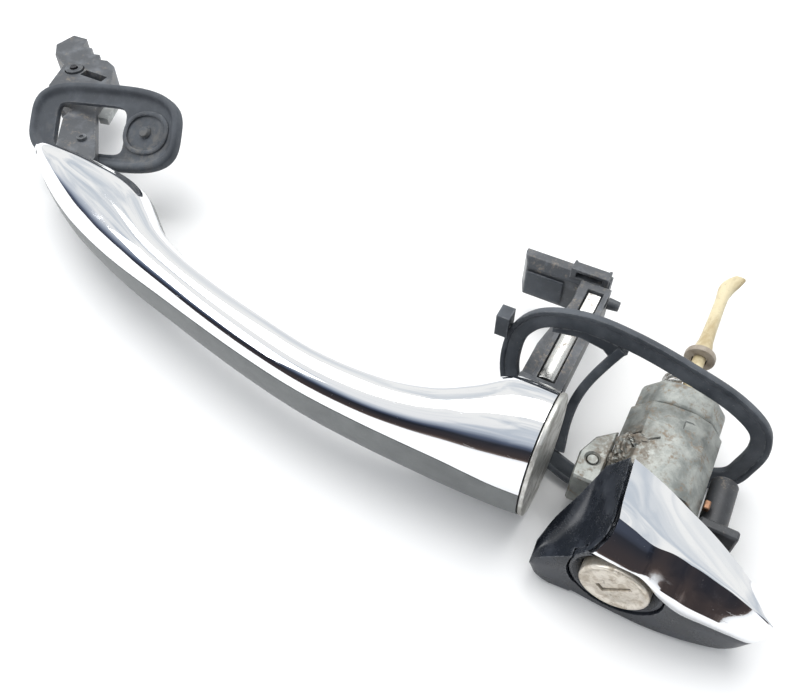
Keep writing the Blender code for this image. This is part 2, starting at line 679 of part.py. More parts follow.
def build_housing(steel):
    zinc = material("zinc", (0.36, 0.38, 0.36), 0.7, 0.6)
    brass = material("copper_bit", (0.55, 0.30, 0.16), 1.0, 0.4)
    black = material("post_black", (0.04, 0.045, 0.05), 0.0, 0.5)
    body = prism_mesh(housing_outline(HOUSING_HALF, 7.2, 29.0), -24.4, 4.6, axis=1)
    housing = add_object("lock_housing", body, zinc)
    bore = cutter("housing_bore", rod_mesh(SLEEVE_R + GAP, (LOCK_X, -40, LOCK_Z), (LOCK_X, 20, LOCK_Z), 32))
    cut(housing, bore)
    rib = cutter("housing_slot", box_mesh((12.0, -14.0, 24.0), (18.0, -8.0, 34.0)))
    cut(housing, rib)
    bevel(housing, 0.5)

    cover = prism_mesh(housing_outline(HOUSING_HALF - 0.8, 6.2, 28.2), 5.0, 14.4, axis=1)
    cover_obj = add_object("housing_end_cover", cover, zinc)
    cut(cover_obj, cutter("cover_bore", rod_mesh(6.2, (LOCK_X, 0, LOCK_Z), (LOCK_X, 30, LOCK_Z), 32)))
    bevel(cover_obj, 0.8)
    add_object("lock_sleeve", ring_mesh(SLEEVE_R, PLUG_R + GAP, -44.0, 4.4), steel, flat=False)

    left = LOCK_X - HOUSING_HALF - GAP
    outline = ((left, -6.0), (6.0, -11.0), (3.4, -18.0), (4.0, -27.0), (left, -27.0))
    lug = add_object("housing_lug", prism_mesh(outline, 8.0, 21.4), zinc)
    cut(lug, cutter("lug_hole", rod_mesh(1.9, (7.6, -19.0, 0), (7.6, -19.0, 30), 16)))
    bevel(lug, 0.6)
    shank = rod_mesh(1.6, (7.6, -19.0, 6.0), (7.6, -19.0, 21.1), 16)
    add_object("housing_lug_screw", shank, steel, flat=False)

    barrel = rod_mesh(3.9, (43.8, -23.0, 17.0), (43.8, -6.6, 17.0), 28)
    post = add_object("clamp_post", barrel, black, flat=False)
    cut(post, cutter("post_bore", rod_mesh(1.9, (43.8, -30.0, 17.0), (43.8, 0.0, 17.0), 16)))
    bevel(post, 0.4)
    plate = box_mesh((39.6, -26.6, 8.0), (50.4, -23.3, 23.0))
    plate_obj = add_object("clamp_post_plate", plate, black)
    cut(plate_obj, cutter("plate_bore", rod_mesh(1.9, (43.8, -30.0, 17.0), (43.8, 0.0, 17.0), 16)))
    bevel(plate_obj, 0.6)
    add_object("clamp_screw", rod_mesh(1.6, (43.8, -27.4, 17.0), (43.8, -5.2, 17.0), 16), brass, flat=False)
    clip = box_mesh((39.5, -20.6, 20.6), (41.2, -17.6, 22.6))
    bevel(add_object("clamp_clip", clip, brass), 0.3, 1)
    for number, (x, y, z) in enumerate(((21.0, -25.4, 31.6), (33.0, -28.2, 24.0))):
        tail = rod_mesh(1.5, (x, y, z), (x, -24.8, z), 16)
        add_object("cap_screw_%d" % (number + 1), tail, steel, flat=False)
    return zinc


# ---------------------------------------------------------------- lock rotor

def turned(point):
    """Turns a point of the plug about the lock axis to the key slot's angle."""
    t = math.radians(KEY_ANGLE)
    x, y, z = point
    return (LOCK_X + x * math.cos(t) - z * math.sin(t), y, LOCK_Z + x * math.sin(t) + z * math.cos(t))


def turned_box(low, high):
    bm = box_mesh(low, high)
    for vert in bm.verts:
        vert.co = turned(vert.co)
    return bm


def build_rotor(steel):
    nickel = material("nickel_face", (0.62, 0.57, 0.50), 0.8, 0.38)
    plug_mat = material("plug_brass", (0.50, 0.42, 0.25), 0.9, 0.4)
    rod_mat = material("tail_beige", (0.66, 0.58, 0.38), 0.0, 0.45)
    axis = (LOCK_X, FACE_Y, LOCK_Z)
    slot = cutter("keyway", turned_box((-4.6, -47.6, -1.1), (4.6, -16.0, 1.1)), axis)
    mouth = cutter("key_mouth", turned_box((-4.9, -70, -1.65), (4.9, -46.9, 1.65)), axis)
    pocket = cutter("knuckle_pocket", turned_box((-4.9, -50.1, 1.1), (4.9, -46.9, 2.95)), axis)

    face = rod_mesh(FACE_R, (LOCK_X, -47.0, LOCK_Z), (LOCK_X, FACE_Y, LOCK_Z), 40)
    face_obj = add_object("plug_face", face, nickel, axis, flat=False)
    hollow = rod_mesh(FACE_R - 1.6, (LOCK_X, FACE_Y + 0.5, LOCK_Z), (LOCK_X, FACE_Y - 3, LOCK_Z), 40)
    cut(face_obj, cutter("face_dish", hollow, axis))
    cut(face_obj, mouth)
    cut(face_obj, pocket)

    plug = rod_mesh(PLUG_R, (LOCK_X, -46.7, LOCK_Z), (LOCK_X, 2.0, LOCK_Z), 32)
    plug_obj = add_object("lock_plug", plug, plug_mat, axis, flat=False)
    cut(plug_obj, slot)
    for number in range(WAFERS):
        y = -34.0 + 6.0 * number
        hole = cutter("wafer_slot_%d" % number, turned_box((-3.8, y - 0.8, -9), (3.8, y + 0.8, 9)), axis)
        cut(plug_obj, hole)
        leaf = turned_box((-3.5, y - 0.5, -5.4), (3.5, y + 0.5, 5.4))
        leaf_obj = add_object("wafer_%d" % (number + 1), leaf, plug_mat, axis)
        window = turned_box((-2.5, y - 2, -2.2), (2.5, y + 2, 2.6))
        cut(leaf_obj, cutter("wafer_window_%d" % number, window, axis))

    pin = rod_mesh(0.35, turned((-4.6, -49.35, 2.0)), turned((4.6, -49.35, 2.0)), 12)
    add_object("shutter_pin", pin, steel, axis, flat=False)
    neck = rod_mesh(5.6, (LOCK_X, 2.4, LOCK_Z), (LOCK_X, 30.0, LOCK_Z), 28, 5.0)
    neck_mat = material("neck_dark", (0.20, 0.17, 0.13), 0.2, 0.6)
    neck_obj = add_object("tail_neck", neck, neck_mat, axis, flat=False)
    cross = box_mesh((LOCK_X - 2.5, 20.0, LOCK_Z - 9), (LOCK_X + 2.5, 32.0, LOCK_Z + 9))
    cut(neck_obj, cutter("neck_cross", cross))
    clip = ring_mesh(7.0, 5.9, 16.0, 17.0)
    clip_obj = add_object("tail_circlip", clip, steel, axis, flat=False)
    opening = box_mesh((LOCK_X - 1.2, 14, LOCK_Z - 9), (LOCK_X + 1.2, 19, LOCK_Z - 4))
    cut(clip_obj, cutter("clip_gap", opening))

    flange = rod_mesh(5.0, (LOCK_X, 36.6, LOCK_Z), (LOCK_X, 39.0, LOCK_Z), 32)
    flange_mat = material("flange_brown", (0.34, 0.29, 0.24), 0.1, 0.5)
    flange_obj = add_object("tail_flange", flange, flange_mat, axis, flat=False)
    hole = rod_mesh(2.5, (LOCK_X, 30, LOCK_Z), (LOCK_X, 45, LOCK_Z), 24)
    cut(flange_obj, cutter("flange_hole", hole))
    rings = []
    for y, shift, wide, tall in TAIL_STATIONS:
        turns = [2 * math.pi * k / 20 for k in range(20)]
        ring = []
        for t in turns:
            c = math.copysign(abs(math.cos(t)) ** 0.8, math.cos(t))
            z = math.copysign(abs(math.sin(t)) ** 0.8, math.sin(t))
            ring.append((LOCK_X + shift + wide * c, y, LOCK_Z + tall * z))
        rings.append(ring)
    add_object("tail_rod", loft_mesh(rings), rod_mat, axis, flat=False)


# tail rod: Y, shift of the middle along X, half width, half height
TAIL_STATIONS = (
    (20.6, 0.0, 2.1, 2.1), (39.6, 0.0, 2.1, 2.1), (40.2, 0.0, 3.0, 3.0), (42.4, 0.0, 2.8, 2.8),
    (46.0, 0.0, 2.3, 2.3), (58.0, 0.0, 2.05, 2.0), (68.0, 0.0, 2.1, 1.9), (73.0, 0.4, 2.7, 1.8),
    (77.0, 1.7, 2.8, 1.6), (80.5, 3.4, 2.1, 1.3),
)


def build_shutter():
    flap_mat = material("shutter_steel", (0.45, 0.45, 0.45), 1.0, 0.35)
    pin = turned((0, -49.35, 2.0))
    body = turned_box((-4.5, -50.2, -1.35), (4.5, -49.6, 1.3))
    flap = add_object("dust_shutter", body, flap_mat, pin)
    web = turned_box((-4.3, -49.9, 0.9), (4.3, -49.3, 2.0))
    cut(flap, cutter("shutter_web", web, pin), "UNION")
    knuckle = rod_mesh(0.68, turned((-4.4, -49.35, 2.0)), turned((4.4, -49.35, 2.0)), 16)
    cut(flap, cutter("shutter_knuckle", knuckle, pin), "UNION")
    eye = rod_mesh(0.48, turned((-6, -49.35, 2.0)), turned((6, -49.35, 2.0)), 16)
    cut(flap, cutter("shutter_eye", eye, pin))


def build_spring(steel):
    """Torsion return spring wound round the neck behind the end cover."""
    curve = bpy.data.curves.new("return_spring", "CURVE")
    curve.dimensions = "3D"
    curve.bevel_depth = 0.55 * MM
    curve.bevel_resolution = 2
    curve.use_fill_caps = True
    line = curve.splines.new("POLY")
    turns = 3.0
    steps = 60
    line.points.add(steps)
    for k in range(steps + 1):
        t = 2 * math.pi * turns * k / steps
        at = world((LOCK_X + 8.0 * math.cos(t), 18.6 + 6.0 * k / steps, LOCK_Z + 8.0 * math.sin(t)))
        line.points[k].co = (*at, 1.0)
    obj = bpy.data.objects.new("spring_line", curve)
    CUTTERS.objects.link(obj)
    bpy.context.view_layer.update()
    graph = bpy.context.evaluated_depsgraph_get()
    mesh = bpy.data.meshes.new_from_object(obj.evaluated_get(graph))
    bpy.data.objects.remove(obj, do_unlink=True)
    bm = bmesh.new()
    bm.from_mesh(mesh)
    bmesh.ops.remove_doubles(bm, verts=bm.verts, dist=1e-6)
    bmesh.ops.recalc_face_normals(bm, faces=bm.faces)
    bm.to_mesh(mesh)
    bm.free()
    mesh.materials.clear()
    mesh.materials.append(steel)
    spring = bpy.data.objects.new("return_spring", mesh)
    PARTS.objects.link(spring)


def main():
    rear, front = foot_pockets()
    frame = build_grip(rear, front)
    steel, dark = build_hinge_arm(frame)
    build_hook_arm(steel, dark)
    rubber = build_front_gasket()
    build_rear_gasket(rubber)
    build_cap()
    build_key_ring()
    build_housing(steel)
    build_rotor(steel)
    build_shutter()
    build_spring(steel)


main()
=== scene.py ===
import json
import math

import bmesh
import bpy
from mathutils import Matrix, Vector

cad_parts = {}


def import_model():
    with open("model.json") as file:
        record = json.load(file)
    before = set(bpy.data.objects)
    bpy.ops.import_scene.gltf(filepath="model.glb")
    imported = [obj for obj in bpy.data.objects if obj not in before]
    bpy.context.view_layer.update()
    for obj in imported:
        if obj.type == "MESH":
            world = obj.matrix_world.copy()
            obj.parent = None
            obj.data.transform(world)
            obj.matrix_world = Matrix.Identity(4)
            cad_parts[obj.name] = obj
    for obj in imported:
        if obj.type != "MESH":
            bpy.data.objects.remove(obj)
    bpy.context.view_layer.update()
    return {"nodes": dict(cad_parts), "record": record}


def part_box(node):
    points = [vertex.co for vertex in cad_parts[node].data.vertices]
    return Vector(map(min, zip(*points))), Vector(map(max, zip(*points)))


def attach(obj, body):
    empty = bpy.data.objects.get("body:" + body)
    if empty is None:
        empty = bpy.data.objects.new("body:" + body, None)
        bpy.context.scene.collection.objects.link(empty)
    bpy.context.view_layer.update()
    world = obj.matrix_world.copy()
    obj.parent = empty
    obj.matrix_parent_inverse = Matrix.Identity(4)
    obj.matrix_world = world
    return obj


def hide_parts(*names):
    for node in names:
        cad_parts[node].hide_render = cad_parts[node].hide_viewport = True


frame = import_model()

# ------------------------------------------------------------------ sizes
# Lengths are millimetres in the part's own layout, turned into metres of the frame by world().

MM = 0.001
GAP = 0.3

GRIP_TIP_X = -237.5
HOUSING_FRONT = -24.4
HOUSING_BACK = 4.1
COVER_FRONT = 5.0
COVER_BACK = 14.4

LOCK_X = 25.4
LOCK_Z = 16.0
FACE_Y = -51.4
FACE_BACK = -47.0
FACE_RADIUS = 9.6
PLUG_BORE = 7.9
RECESS_BORE = 13.2
KEY_ANGLE = 45
SLOT_HALF_LENGTH = 4.9
SLOT_HALF_WIDTH = 1.65

CAP_WALL = 1.6
SHELL = 2.2
HEAD_Y = 44.3

SHIFT_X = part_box("grip_chrome_shell")[0].x / MM - GRIP_TIP_X
SHIFT_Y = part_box("lock_housing")[0].y / MM - HOUSING_FRONT


def world(point):
    return Vector(((point[0] + SHIFT_X) * MM, (point[1] + SHIFT_Y) * MM, point[2] * MM))


# ------------------------------------------------------------------ meshes

def spline_rows(rows, per):
    """Rows interpolated smoothly over their first value, keeping every given row."""
    def slope(i, j):
        a = max(i - 1, 0)
        b = min(i + 1, len(rows) - 1)
        return (rows[b][j] - rows[a][j]) / (rows[b][0] - rows[a][0])

    found = []
    for i in range(len(rows) - 1):
        wide = rows[i + 1][0] - rows[i][0]
        for k in range(per):
            t = k / per
            row = [rows[i][0] + wide * t]
            for j in range(1, len(rows[0])):
                p, q = rows[i][j], rows[i + 1][j]
                m, n = slope(i, j) * wide, slope(i + 1, j) * wide
                value = (2 * t ** 3 - 3 * t * t + 1) * p + (t ** 3 - 2 * t * t + t) * m
                value += (3 * t * t - 2 * t ** 3) * q + (t ** 3 - t * t) * n
                row.append(value)
            found.append(tuple(row))
    found.append(tuple(rows[-1]))
    return found


def catmull_rom(a, b, c, d, per):
    """Points of the curve from b up to c, c left out."""
    found = []
    for n in range(per):
        t = n / per
        found.append(0.5 * (2 * b + (c - a) * t + (2 * a - 5 * b + 4 * c - d) * t * t
                            + (3 * b - a - 3 * c + d) * t ** 3))
    return found


def spline_open(points, per):
    """Curve through the points, ends included."""
    p = [Vector(q) for q in points]
    p = [p[0] * 2 - p[1], *p, p[-1] * 2 - p[-2]]
    found = []
    for k in range(1, len(p) - 2):
        found += catmull_rom(*p[k - 1:k + 3], per)
    found.append(p[-2])
    return found


def spline_closed(points, per):
    """Curve through the points and back to the first."""
    p = [Vector(q) for q in points]
    found = []
    for k in range(len(p)):
        found += catmull_rom(*(p[(k + j) % len(p)] for j in (-1, 0, 1, 2)), per)
    return found


def between(value, low, high):
    return max(low, min(high, value))


def power_wave(value, power):
    """A sine or cosine raised to a power, with its sign kept: under 1 it squares an ellipse."""
    return math.copysign(abs(value) ** power, value)


def full_turn(steps):
    return [2 * math.pi * k / steps for k in range(steps)]


def loft(rings, closed_along=False):
    """Skin over rings of equally many points, with flat ends unless it closes on itself."""
    bm = bmesh.new()
    rows = [[bm.verts.new(p) for p in ring] for ring in rings]
    count = len(rows[0])
    pairs = list(zip(rows, rows[1:]))
    if closed_along:
        pairs.append((rows[-1], rows[0]))
    for a, b in pairs:
        for k in range(count):
            n = (k + 1) % count
            bm.faces.new((a[k], a[n], b[n], b[k]))
    if not closed_along:
        bm.faces.new(rows[0])
        bm.faces.new(rows[-1])
    return bm


def prism(outline, low, high, axis=2):
    """Outline drawn in the two other axes, run from low to high along this one."""
    def place(p, h):
        point = [p[0], p[1]]
        point.insert(axis, h)
        return tuple(point)
    return loft([[place(p, low) for p in outline], [place(p, high) for p in outline]])


def box(low, high):
    bm = bmesh.new()
    made = bmesh.ops.create_cube(bm, size=1.0)["verts"]
    bmesh.ops.scale(bm, vec=[b - a for a, b in zip(low, high)], verts=made)
    bmesh.ops.translate(bm, vec=[(a + b) / 2 for a, b in zip(low, high)], verts=made)
    return bm


def rod(radius, start, end, steps=48, radius_end=None):
    a, b = Vector(start), Vector(end)
    bm = bmesh.new()
    last = radius if radius_end is None else radius_end
    long = (b - a).length
    bmesh.ops.create_cone(bm, cap_ends=True, segments=steps, radius1=radius, radius2=last, depth=long)
    turn = (b - a).to_track_quat("Z", "Y").to_matrix().to_4x4()
    bmesh.ops.transform(bm, matrix=Matrix.Translation((a + b) / 2) @ turn, verts=bm.verts)
    return bm


def lock_bore(radius, front, back, steps=48):
    return rod(radius, (LOCK_X, front, LOCK_Z), (LOCK_X, back, LOCK_Z), steps)


def on_lock(radius, y, turn):
    """Point round the lock axis."""
    return (LOCK_X + radius * math.cos(turn), y, LOCK_Z + radius * math.sin(turn))


def lathe(profile, steps=96):
    """Closed profile of (radius, y) pairs turned about the lock axis."""
    rings = [[on_lock(r, y, t) for r, y in profile] for t in full_turn(steps)]
    return loft(rings, closed_along=True)


def disc(profile, steps=96):
    """Solid of a profile that starts and ends on the lock axis."""
    bm = bmesh.new()
    first = bm.verts.new((LOCK_X, profile[0][1], LOCK_Z))
    last = bm.verts.new((LOCK_X, profile[-1][1], LOCK_Z))
    rows = [[bm.verts.new(on_lock(r, y, t)) for t in full_turn(steps)] for r, y in profile[1:-1]]
    for k in range(steps):
        n = (k + 1) % steps
        bm.faces.new((first, rows[0][k], rows[0][n]))
        for a, b in zip(rows, rows[1:]):
            bm.faces.new((a[k], a[n], b[n], b[k]))
        bm.faces.new((rows[-1][k], last, rows[-1][n]))
    return bm


def link_object(name, data):
    obj = bpy.data.objects.new(name, data)
    bpy.context.scene.collection.objects.link(obj)
    return obj


def shade(mesh, angle):
    """Smooth, with edges sharper than the angle kept crisp."""
    mesh.shade_smooth()
    mesh.set_sharp_from_angle(angle=math.radians(angle))


def to_object(name, bm, mat, smooth=38):
    for vert in bm.verts:
        vert.co = world(vert.co)
    bmesh.ops.recalc_face_normals(bm, faces=bm.faces)
    mesh = bpy.data.meshes.new(name)
    bm.to_mesh(mesh)
    bm.free()
    shade(mesh, smooth)
    if mat is not None:
        mesh.materials.append(mat)
    return link_object(name, mesh)


def bevel(obj, width, segments=2, angle=34):
    mod = obj.modifiers.new("Bevel", "BEVEL")
    mod.width = width * MM
    mod.segments = segments
    mod.limit_method = "ANGLE"
    mod.angle_limit = math.radians(angle)
    mod.use_clamp_overlap = True
    mod.harden_normals = False


def bake_modifiers(obj):
    """Puts what the modifiers make into the mesh itself."""
    bpy.context.view_layer.update()
    graph = bpy.context.evaluated_depsgraph_get()
    mesh = bpy.data.meshes.new_from_object(obj.evaluated_get(graph))
    obj.modifiers.clear()
    old = obj.data
    obj.data = mesh
    bpy.data.meshes.remove(old)


def carve(obj, bms, operation="DIFFERENCE", smooth=38):
    """Booleans applied at once, so no helper stays in the scene."""
    tools = []
    for bm in bms:
        tool = to_object("tool", bm, None)
        mod = obj.modifiers.new("Cut", "BOOLEAN")
        mod.operation = operation
        mod.solver = "EXACT"
        mod.object = tool
        tools.append(tool)
    bake_modifiers(obj)
    for tool in tools:
        mesh_of = tool.data
        bpy.data.objects.remove(tool, do_unlink=True)
        bpy.data.meshes.remove(mesh_of)
    obj.data.name = obj.name
    shade(obj.data, smooth)


# ------------------------------------------------------------------ materials

class Paint:
    """A Principled material whose inputs come from procedural noise in object space."""

    def __init__(self, name, colour, metallic=0.0, roughness=0.5):
        self.mat = bpy.data.materials.new(name)
        self.mat.use_nodes = True
        self.tree = self.mat.node_tree
        self.shader = self.tree.nodes["Principled BSDF"]
        self.set("Base Color", (*colour, 1.0))
        self.set("Metallic", metallic)
        self.set("Roughness", roughness)
        self.where = self.tree.nodes.new("ShaderNodeTexCoord").outputs["Object"]
        self.normal = None

    def set(self, name, value):
        self.shader.inputs[name].default_value = value

    def feed(self, name, out):
        self.tree.links.new(out, self.shader.inputs[name])

    def link(self, node, key, value):
        """Feeds an input, by name or number, from another node's output or with a plain value."""
        if isinstance(value, bpy.types.NodeSocket):
            self.tree.links.new(value, node.inputs[key])
        else:
            node.inputs[key].default_value = value

    def stretched(self, scale):
        node = self.tree.nodes.new("ShaderNodeMapping")
        self.link(node, "Vector", self.where)
        node.inputs["Scale"].default_value = scale
        return node.outputs["Vector"]

    def noise(self, size, detail=3.0, rough=0.55, distort=0.0, where=None):
        """size is the grain in millimetres."""
        node = self.tree.nodes.new("ShaderNodeTexNoise")
        self.link(node, "Vector", where or self.where)
        node.inputs["Scale"].default_value = 1 / (size * MM)
        node.inputs["Detail"].default_value = detail
        node.inputs["Roughness"].default_value = rough
        node.inputs["Distortion"].default_value = distort
        return node.outputs["Fac"]

    def ramp(self, value, low, high, out_low=0.0, out_high=1.0):
        node = self.tree.nodes.new("ShaderNodeMapRange")
        node.interpolation_type = "SMOOTHSTEP"
        self.link(node, "Value", value)
        ends = {"From Min": low, "From Max": high, "To Min": out_low, "To Max": out_high}
        for name, number in ends.items():
            node.inputs[name].default_value = number
        return node.outputs["Result"]

    def math(self, kind, a, b):
        node = self.tree.nodes.new("ShaderNodeMath")
        node.operation = kind
        node.use_clamp = kind in ("ADD", "SUBTRACT", "MULTIPLY")
        self.link(node, 0, a)
        self.link(node, 1, b)
        return node.outputs[0]

    def mix(self, fac, a, b):
        node = self.tree.nodes.new("ShaderNodeMix")
        node.data_type = "RGBA"
        self.link(node, 0, fac)
        for k, colour in ((6, a), (7, b)):
            self.link(node, k, (*colour, 1.0) if isinstance(colour, tuple) else colour)
        return node.outputs[2]

    def bump(self, height, depth, strength=1.0):
        """depth is the relief in millimetres."""
        node = self.tree.nodes.new("ShaderNodeBump")
        node.inputs["Strength"].default_value = strength
        node.inputs["Distance"].default_value = depth * MM
        self.tree.links.new(height, node.inputs["Height"])
        if self.normal is not None:
            self.tree.links.new(self.normal, node.inputs["Normal"])
        self.normal = node.outputs["Normal"]
        self.feed("Normal", self.normal)

    def edges(self, radius, low=0.002, high=0.10):
        """1 near convex and concave edges, 0 on open faces."""
        soft = self.tree.nodes.new("ShaderNodeBevel")
        soft.samples = 6
        soft.inputs["Radius"].default_value = radius * MM
        flat = self.tree.nodes.new("ShaderNodeNewGeometry")
        dot = self.tree.nodes.new("ShaderNodeVectorMath")
        dot.operation = "DOT_PRODUCT"
        self.tree.links.new(soft.outputs["Normal"], dot.inputs[0])
        self.tree.links.new(flat.outputs["Normal"], dot.inputs[1])
        away = self.math("SUBTRACT", 1.0, dot.outputs["Value"])
        return self.ramp(away, low, high)

    def patchy(self, mask, grain, low, high):
        """The mask broken up where the grain is under low, whole where it is over high."""
        return self.math("MULTIPLY", mask, self.ramp(grain, low, high))

    def near(self, place, radius, fade):
        """1 within a radius of a place in the layout, falling to 0 over the fade."""
        node = self.tree.nodes.new("ShaderNodeVectorMath")
        node.operation = "DISTANCE"
        self.tree.links.new(self.where, node.inputs[0])
        node.inputs[1].default_value = world(place)
        return self.ramp(node.outputs["Value"], radius * MM, (radius + fade) * MM, 1.0, 0.0)


PLATING = (0.86, 0.87, 0.89)


def chrome_paint(name):
    """Polished plating with smeared film, specks of dirt and faint scratches."""
    p = Paint(name, PLATING, 1.0, 0.05)
    haze = p.noise(16, 4)
    smears = p.noise(3.0, 5, 0.6, 0.6, p.stretched((0.35, 1.0, 1.0)))
    film = p.math("MULTIPLY", p.ramp(haze, 0.42, 0.72), p.ramp(smears, 0.4, 0.75))
    specks = p.ramp(p.noise(0.55, 2), 0.73, 0.80)
    p.feed("Roughness", p.math("ADD", p.ramp(film, 0.0, 1.0, 0.035, 0.16), p.math("MULTIPLY", specks, 0.3)))
    p.feed("Base Color", p.mix(p.math("MULTIPLY", specks, 0.55), PLATING, (0.36, 0.34, 0.31)))
    scratch = p.ramp(p.noise(1.1, 2, 0.5, 0.0, p.stretched((0.05, 1.6, 1.6))), 0.70, 0.74)
    p.bump(scratch, 0.01, 0.25)
    p.bump(p.noise(7, 2), 0.02, 0.35)
    return p.mat


def grey_paint(name):
    """Satin moulding, scuffed along its length and dusty."""
    p = Paint(name, (0.30, 0.31, 0.31), 0.25, 0.42)
    blotch = p.ramp(p.noise(9, 4, 0.6), 0.35, 0.7)
    base = p.mix(blotch, (0.130, 0.138, 0.140), (0.19, 0.20, 0.20))
    scuff = p.ramp(p.noise(1.0, 3, 0.6, 0.3, p.stretched((0.12, 1.0, 1.0))), 0.64, 0.76)
    dust = p.ramp(p.noise(0.5, 3, 0.7), 0.60, 0.78)
    base = p.mix(p.math("MULTIPLY", scuff, 0.4), base, (0.36, 0.37, 0.36))
    base = p.mix(p.math("MULTIPLY", dust, 0.30), base, (0.46, 0.46, 0.44))
    p.feed("Base Color", base)
    p.feed("Roughness", p.math("ADD", p.ramp(blotch, 0, 1, 0.34, 0.48), p.math("MULTIPLY", scuff, 0.2)))
    p.bump(p.noise(0.35, 2), 0.02, 0.5)
    p.bump(p.noise(6, 2), 0.05, 0.3)
    return p.mat


ARM_CRUST = (((-243.5, 36.0, 26.0), 2.0, 6.0), ((-14.0, 8.0, 25.0), 3.0, 9.0))
ARM_RUBBED = (((-41.2, 46.0, 17.0), 2.4, 1.6), ((-41.2, 46.0, 21.5), 2.2, 1.6))


def worn_black_paint(name, colour, worn, grit=0.35, rough=0.55, crusted=(), rubbed=()):
    """Moulded part: faint grain, brown dirt in patches, pale rubbed edges.

    crusted and rubbed are (place, radius, fade) rows where dirt sits thick or bare material shows."""
    p = Paint(name, colour, 0.0, rough)
    patch = p.ramp(p.noise(7, 5, 0.62), 0.46, 0.68)
    light = tuple(c * 1.9 + 0.012 for c in colour)
    base = p.mix(patch, colour, light)
    dirt = p.patchy(p.ramp(p.noise(4.5, 5, 0.65, 0.4), 0.52, 0.70), p.noise(0.8, 4), 0.40, 0.62)
    for row in crusted:
        dirt = p.math("ADD", dirt, p.patchy(p.near(*row), p.noise(1.7, 5, 0.65), 0.50, 0.66))
    base = p.mix(p.math("MULTIPLY", dirt, grit), base, (0.30, 0.25, 0.19))
    rub = p.patchy(p.edges(0.7), p.noise(1.4, 4, 0.6), 0.40, 0.62)
    for row in rubbed:
        rub = p.math("ADD", rub, p.patchy(p.near(*row), p.noise(2.0, 3), 0.20, 0.42))
    base = p.mix(p.math("MULTIPLY", rub, 0.7), base, worn)
    specks = p.ramp(p.noise(0.42, 2, 0.6), 0.68, 0.76)
    base = p.mix(p.math("MULTIPLY", specks, 0.4), base, (0.42, 0.40, 0.36))
    p.feed("Base Color", base)
    sheen = p.ramp(patch, 0, 1, rough - 0.08, rough + 0.10)
    p.feed("Roughness", p.math("ADD", sheen, p.math("MULTIPLY", dirt, 0.2)))
    p.bump(p.noise(0.30, 3, 0.6), 0.03, 0.6)
    p.bump(p.noise(2.4, 3), 0.05, 0.4)
    return p.mat


def rubber_paint(name):
    """Slate rubber, chalky on its edges, with silt dried on beside the hinge arm."""
    p = Paint(name, (0.05, 0.058, 0.07), 0.0, 0.72)
    patch = p.ramp(p.noise(11, 5, 0.6), 0.40, 0.68)
    base = p.mix(patch, (0.036, 0.043, 0.054), (0.088, 0.098, 0.112))
    dust = p.patchy(p.edges(1.0, 0.004, 0.16), p.noise(1.8, 4, 0.6), 0.38, 0.62)
    base = p.mix(p.math("MULTIPLY", dust, 0.55), base, (0.27, 0.28, 0.29))
    specks = p.ramp(p.noise(0.5, 3, 0.65), 0.64, 0.74)
    base = p.mix(p.math("MULTIPLY", specks, 0.30), base, (0.36, 0.35, 0.33))
    silt = p.patchy(p.near((-196.0, 32.0, 27.0), 2.0, 14.0), p.noise(3.4, 5, 0.65), 0.42, 0.62)
    more = p.patchy(p.near((-236.0, 30.0, 26.0), 2.0, 12.0), p.noise(2.6, 5), 0.46, 0.62)
    silt = p.math("ADD", silt, more)
    base = p.mix(p.math("MULTIPLY", silt, 0.45), base, (0.20, 0.185, 0.16))
    p.feed("Base Color", base)
    p.feed("Roughness", p.ramp(patch, 0, 1, 0.58, 0.82))
    p.bump(p.noise(0.4, 3, 0.6), 0.03, 0.5)
    p.bump(p.noise(5, 3), 0.10, 0.4)
    return p.mat


def zinc_paint(name):
    """Dull casting: clouded, brown-stained, pitted, bright on its edges, with grime on one corner."""
    p = Paint(name, (0.33, 0.35, 0.33), 0.55, 0.55)
    cloud = p.ramp(p.noise(6, 6, 0.65, 0.3), 0.32, 0.70)
    base = p.mix(cloud, (0.20, 0.215, 0.205), (0.44, 0.455, 0.43))
    stain = p.patchy(p.ramp(p.noise(3.6, 5, 0.65, 0.6), 0.48, 0.66), p.noise(0.9, 4), 0.38, 0.6)
    base = p.mix(p.math("MULTIPLY", stain, 0.75), base, (0.23, 0.16, 0.10))
    pits = p.ramp(p.noise(0.5, 3, 0.7), 0.62, 0.72)
    base = p.mix(p.math("MULTIPLY", pits, 0.6), base, (0.10, 0.09, 0.075))
    rub = p.patchy(p.edges(0.6), p.noise(1.3, 3), 0.4, 0.6)
    base = p.mix(p.math("MULTIPLY", rub, 0.6), base, (0.62, 0.63, 0.60))
    grime = p.patchy(p.near((15.0, -14.0, 25.0), 4.5, 8.0), p.noise(1.6, 5, 0.65), 0.34, 0.56)
    base = p.mix(p.math("MULTIPLY", grime, 0.85), base, (0.13, 0.105, 0.080))
    p.feed("Base Color", base)
    p.feed("Roughness", p.math("ADD", p.ramp(cloud, 0, 1, 0.42, 0.56), p.math("MULTIPLY", stain, 0.3)))
    p.feed("Metallic", p.math("SUBTRACT", 0.6, p.math("MULTIPLY", stain, 0.55)))
    p.bump(p.noise(0.45, 4, 0.65), 0.08, 0.6)
    p.bump(p.noise(2.6, 3), 0.10, 0.5)
    return p.mat


# the bushing's hollow: painted shade, a nearly black spot painted on the steel there
BUSH_HOLLOW = ((-261.0, 62.0, 28.0), 2.0, 2.0)
BARE_STEEL = (0.66, 0.66, 0.64)
RUST = (0.20, 0.13, 0.07)


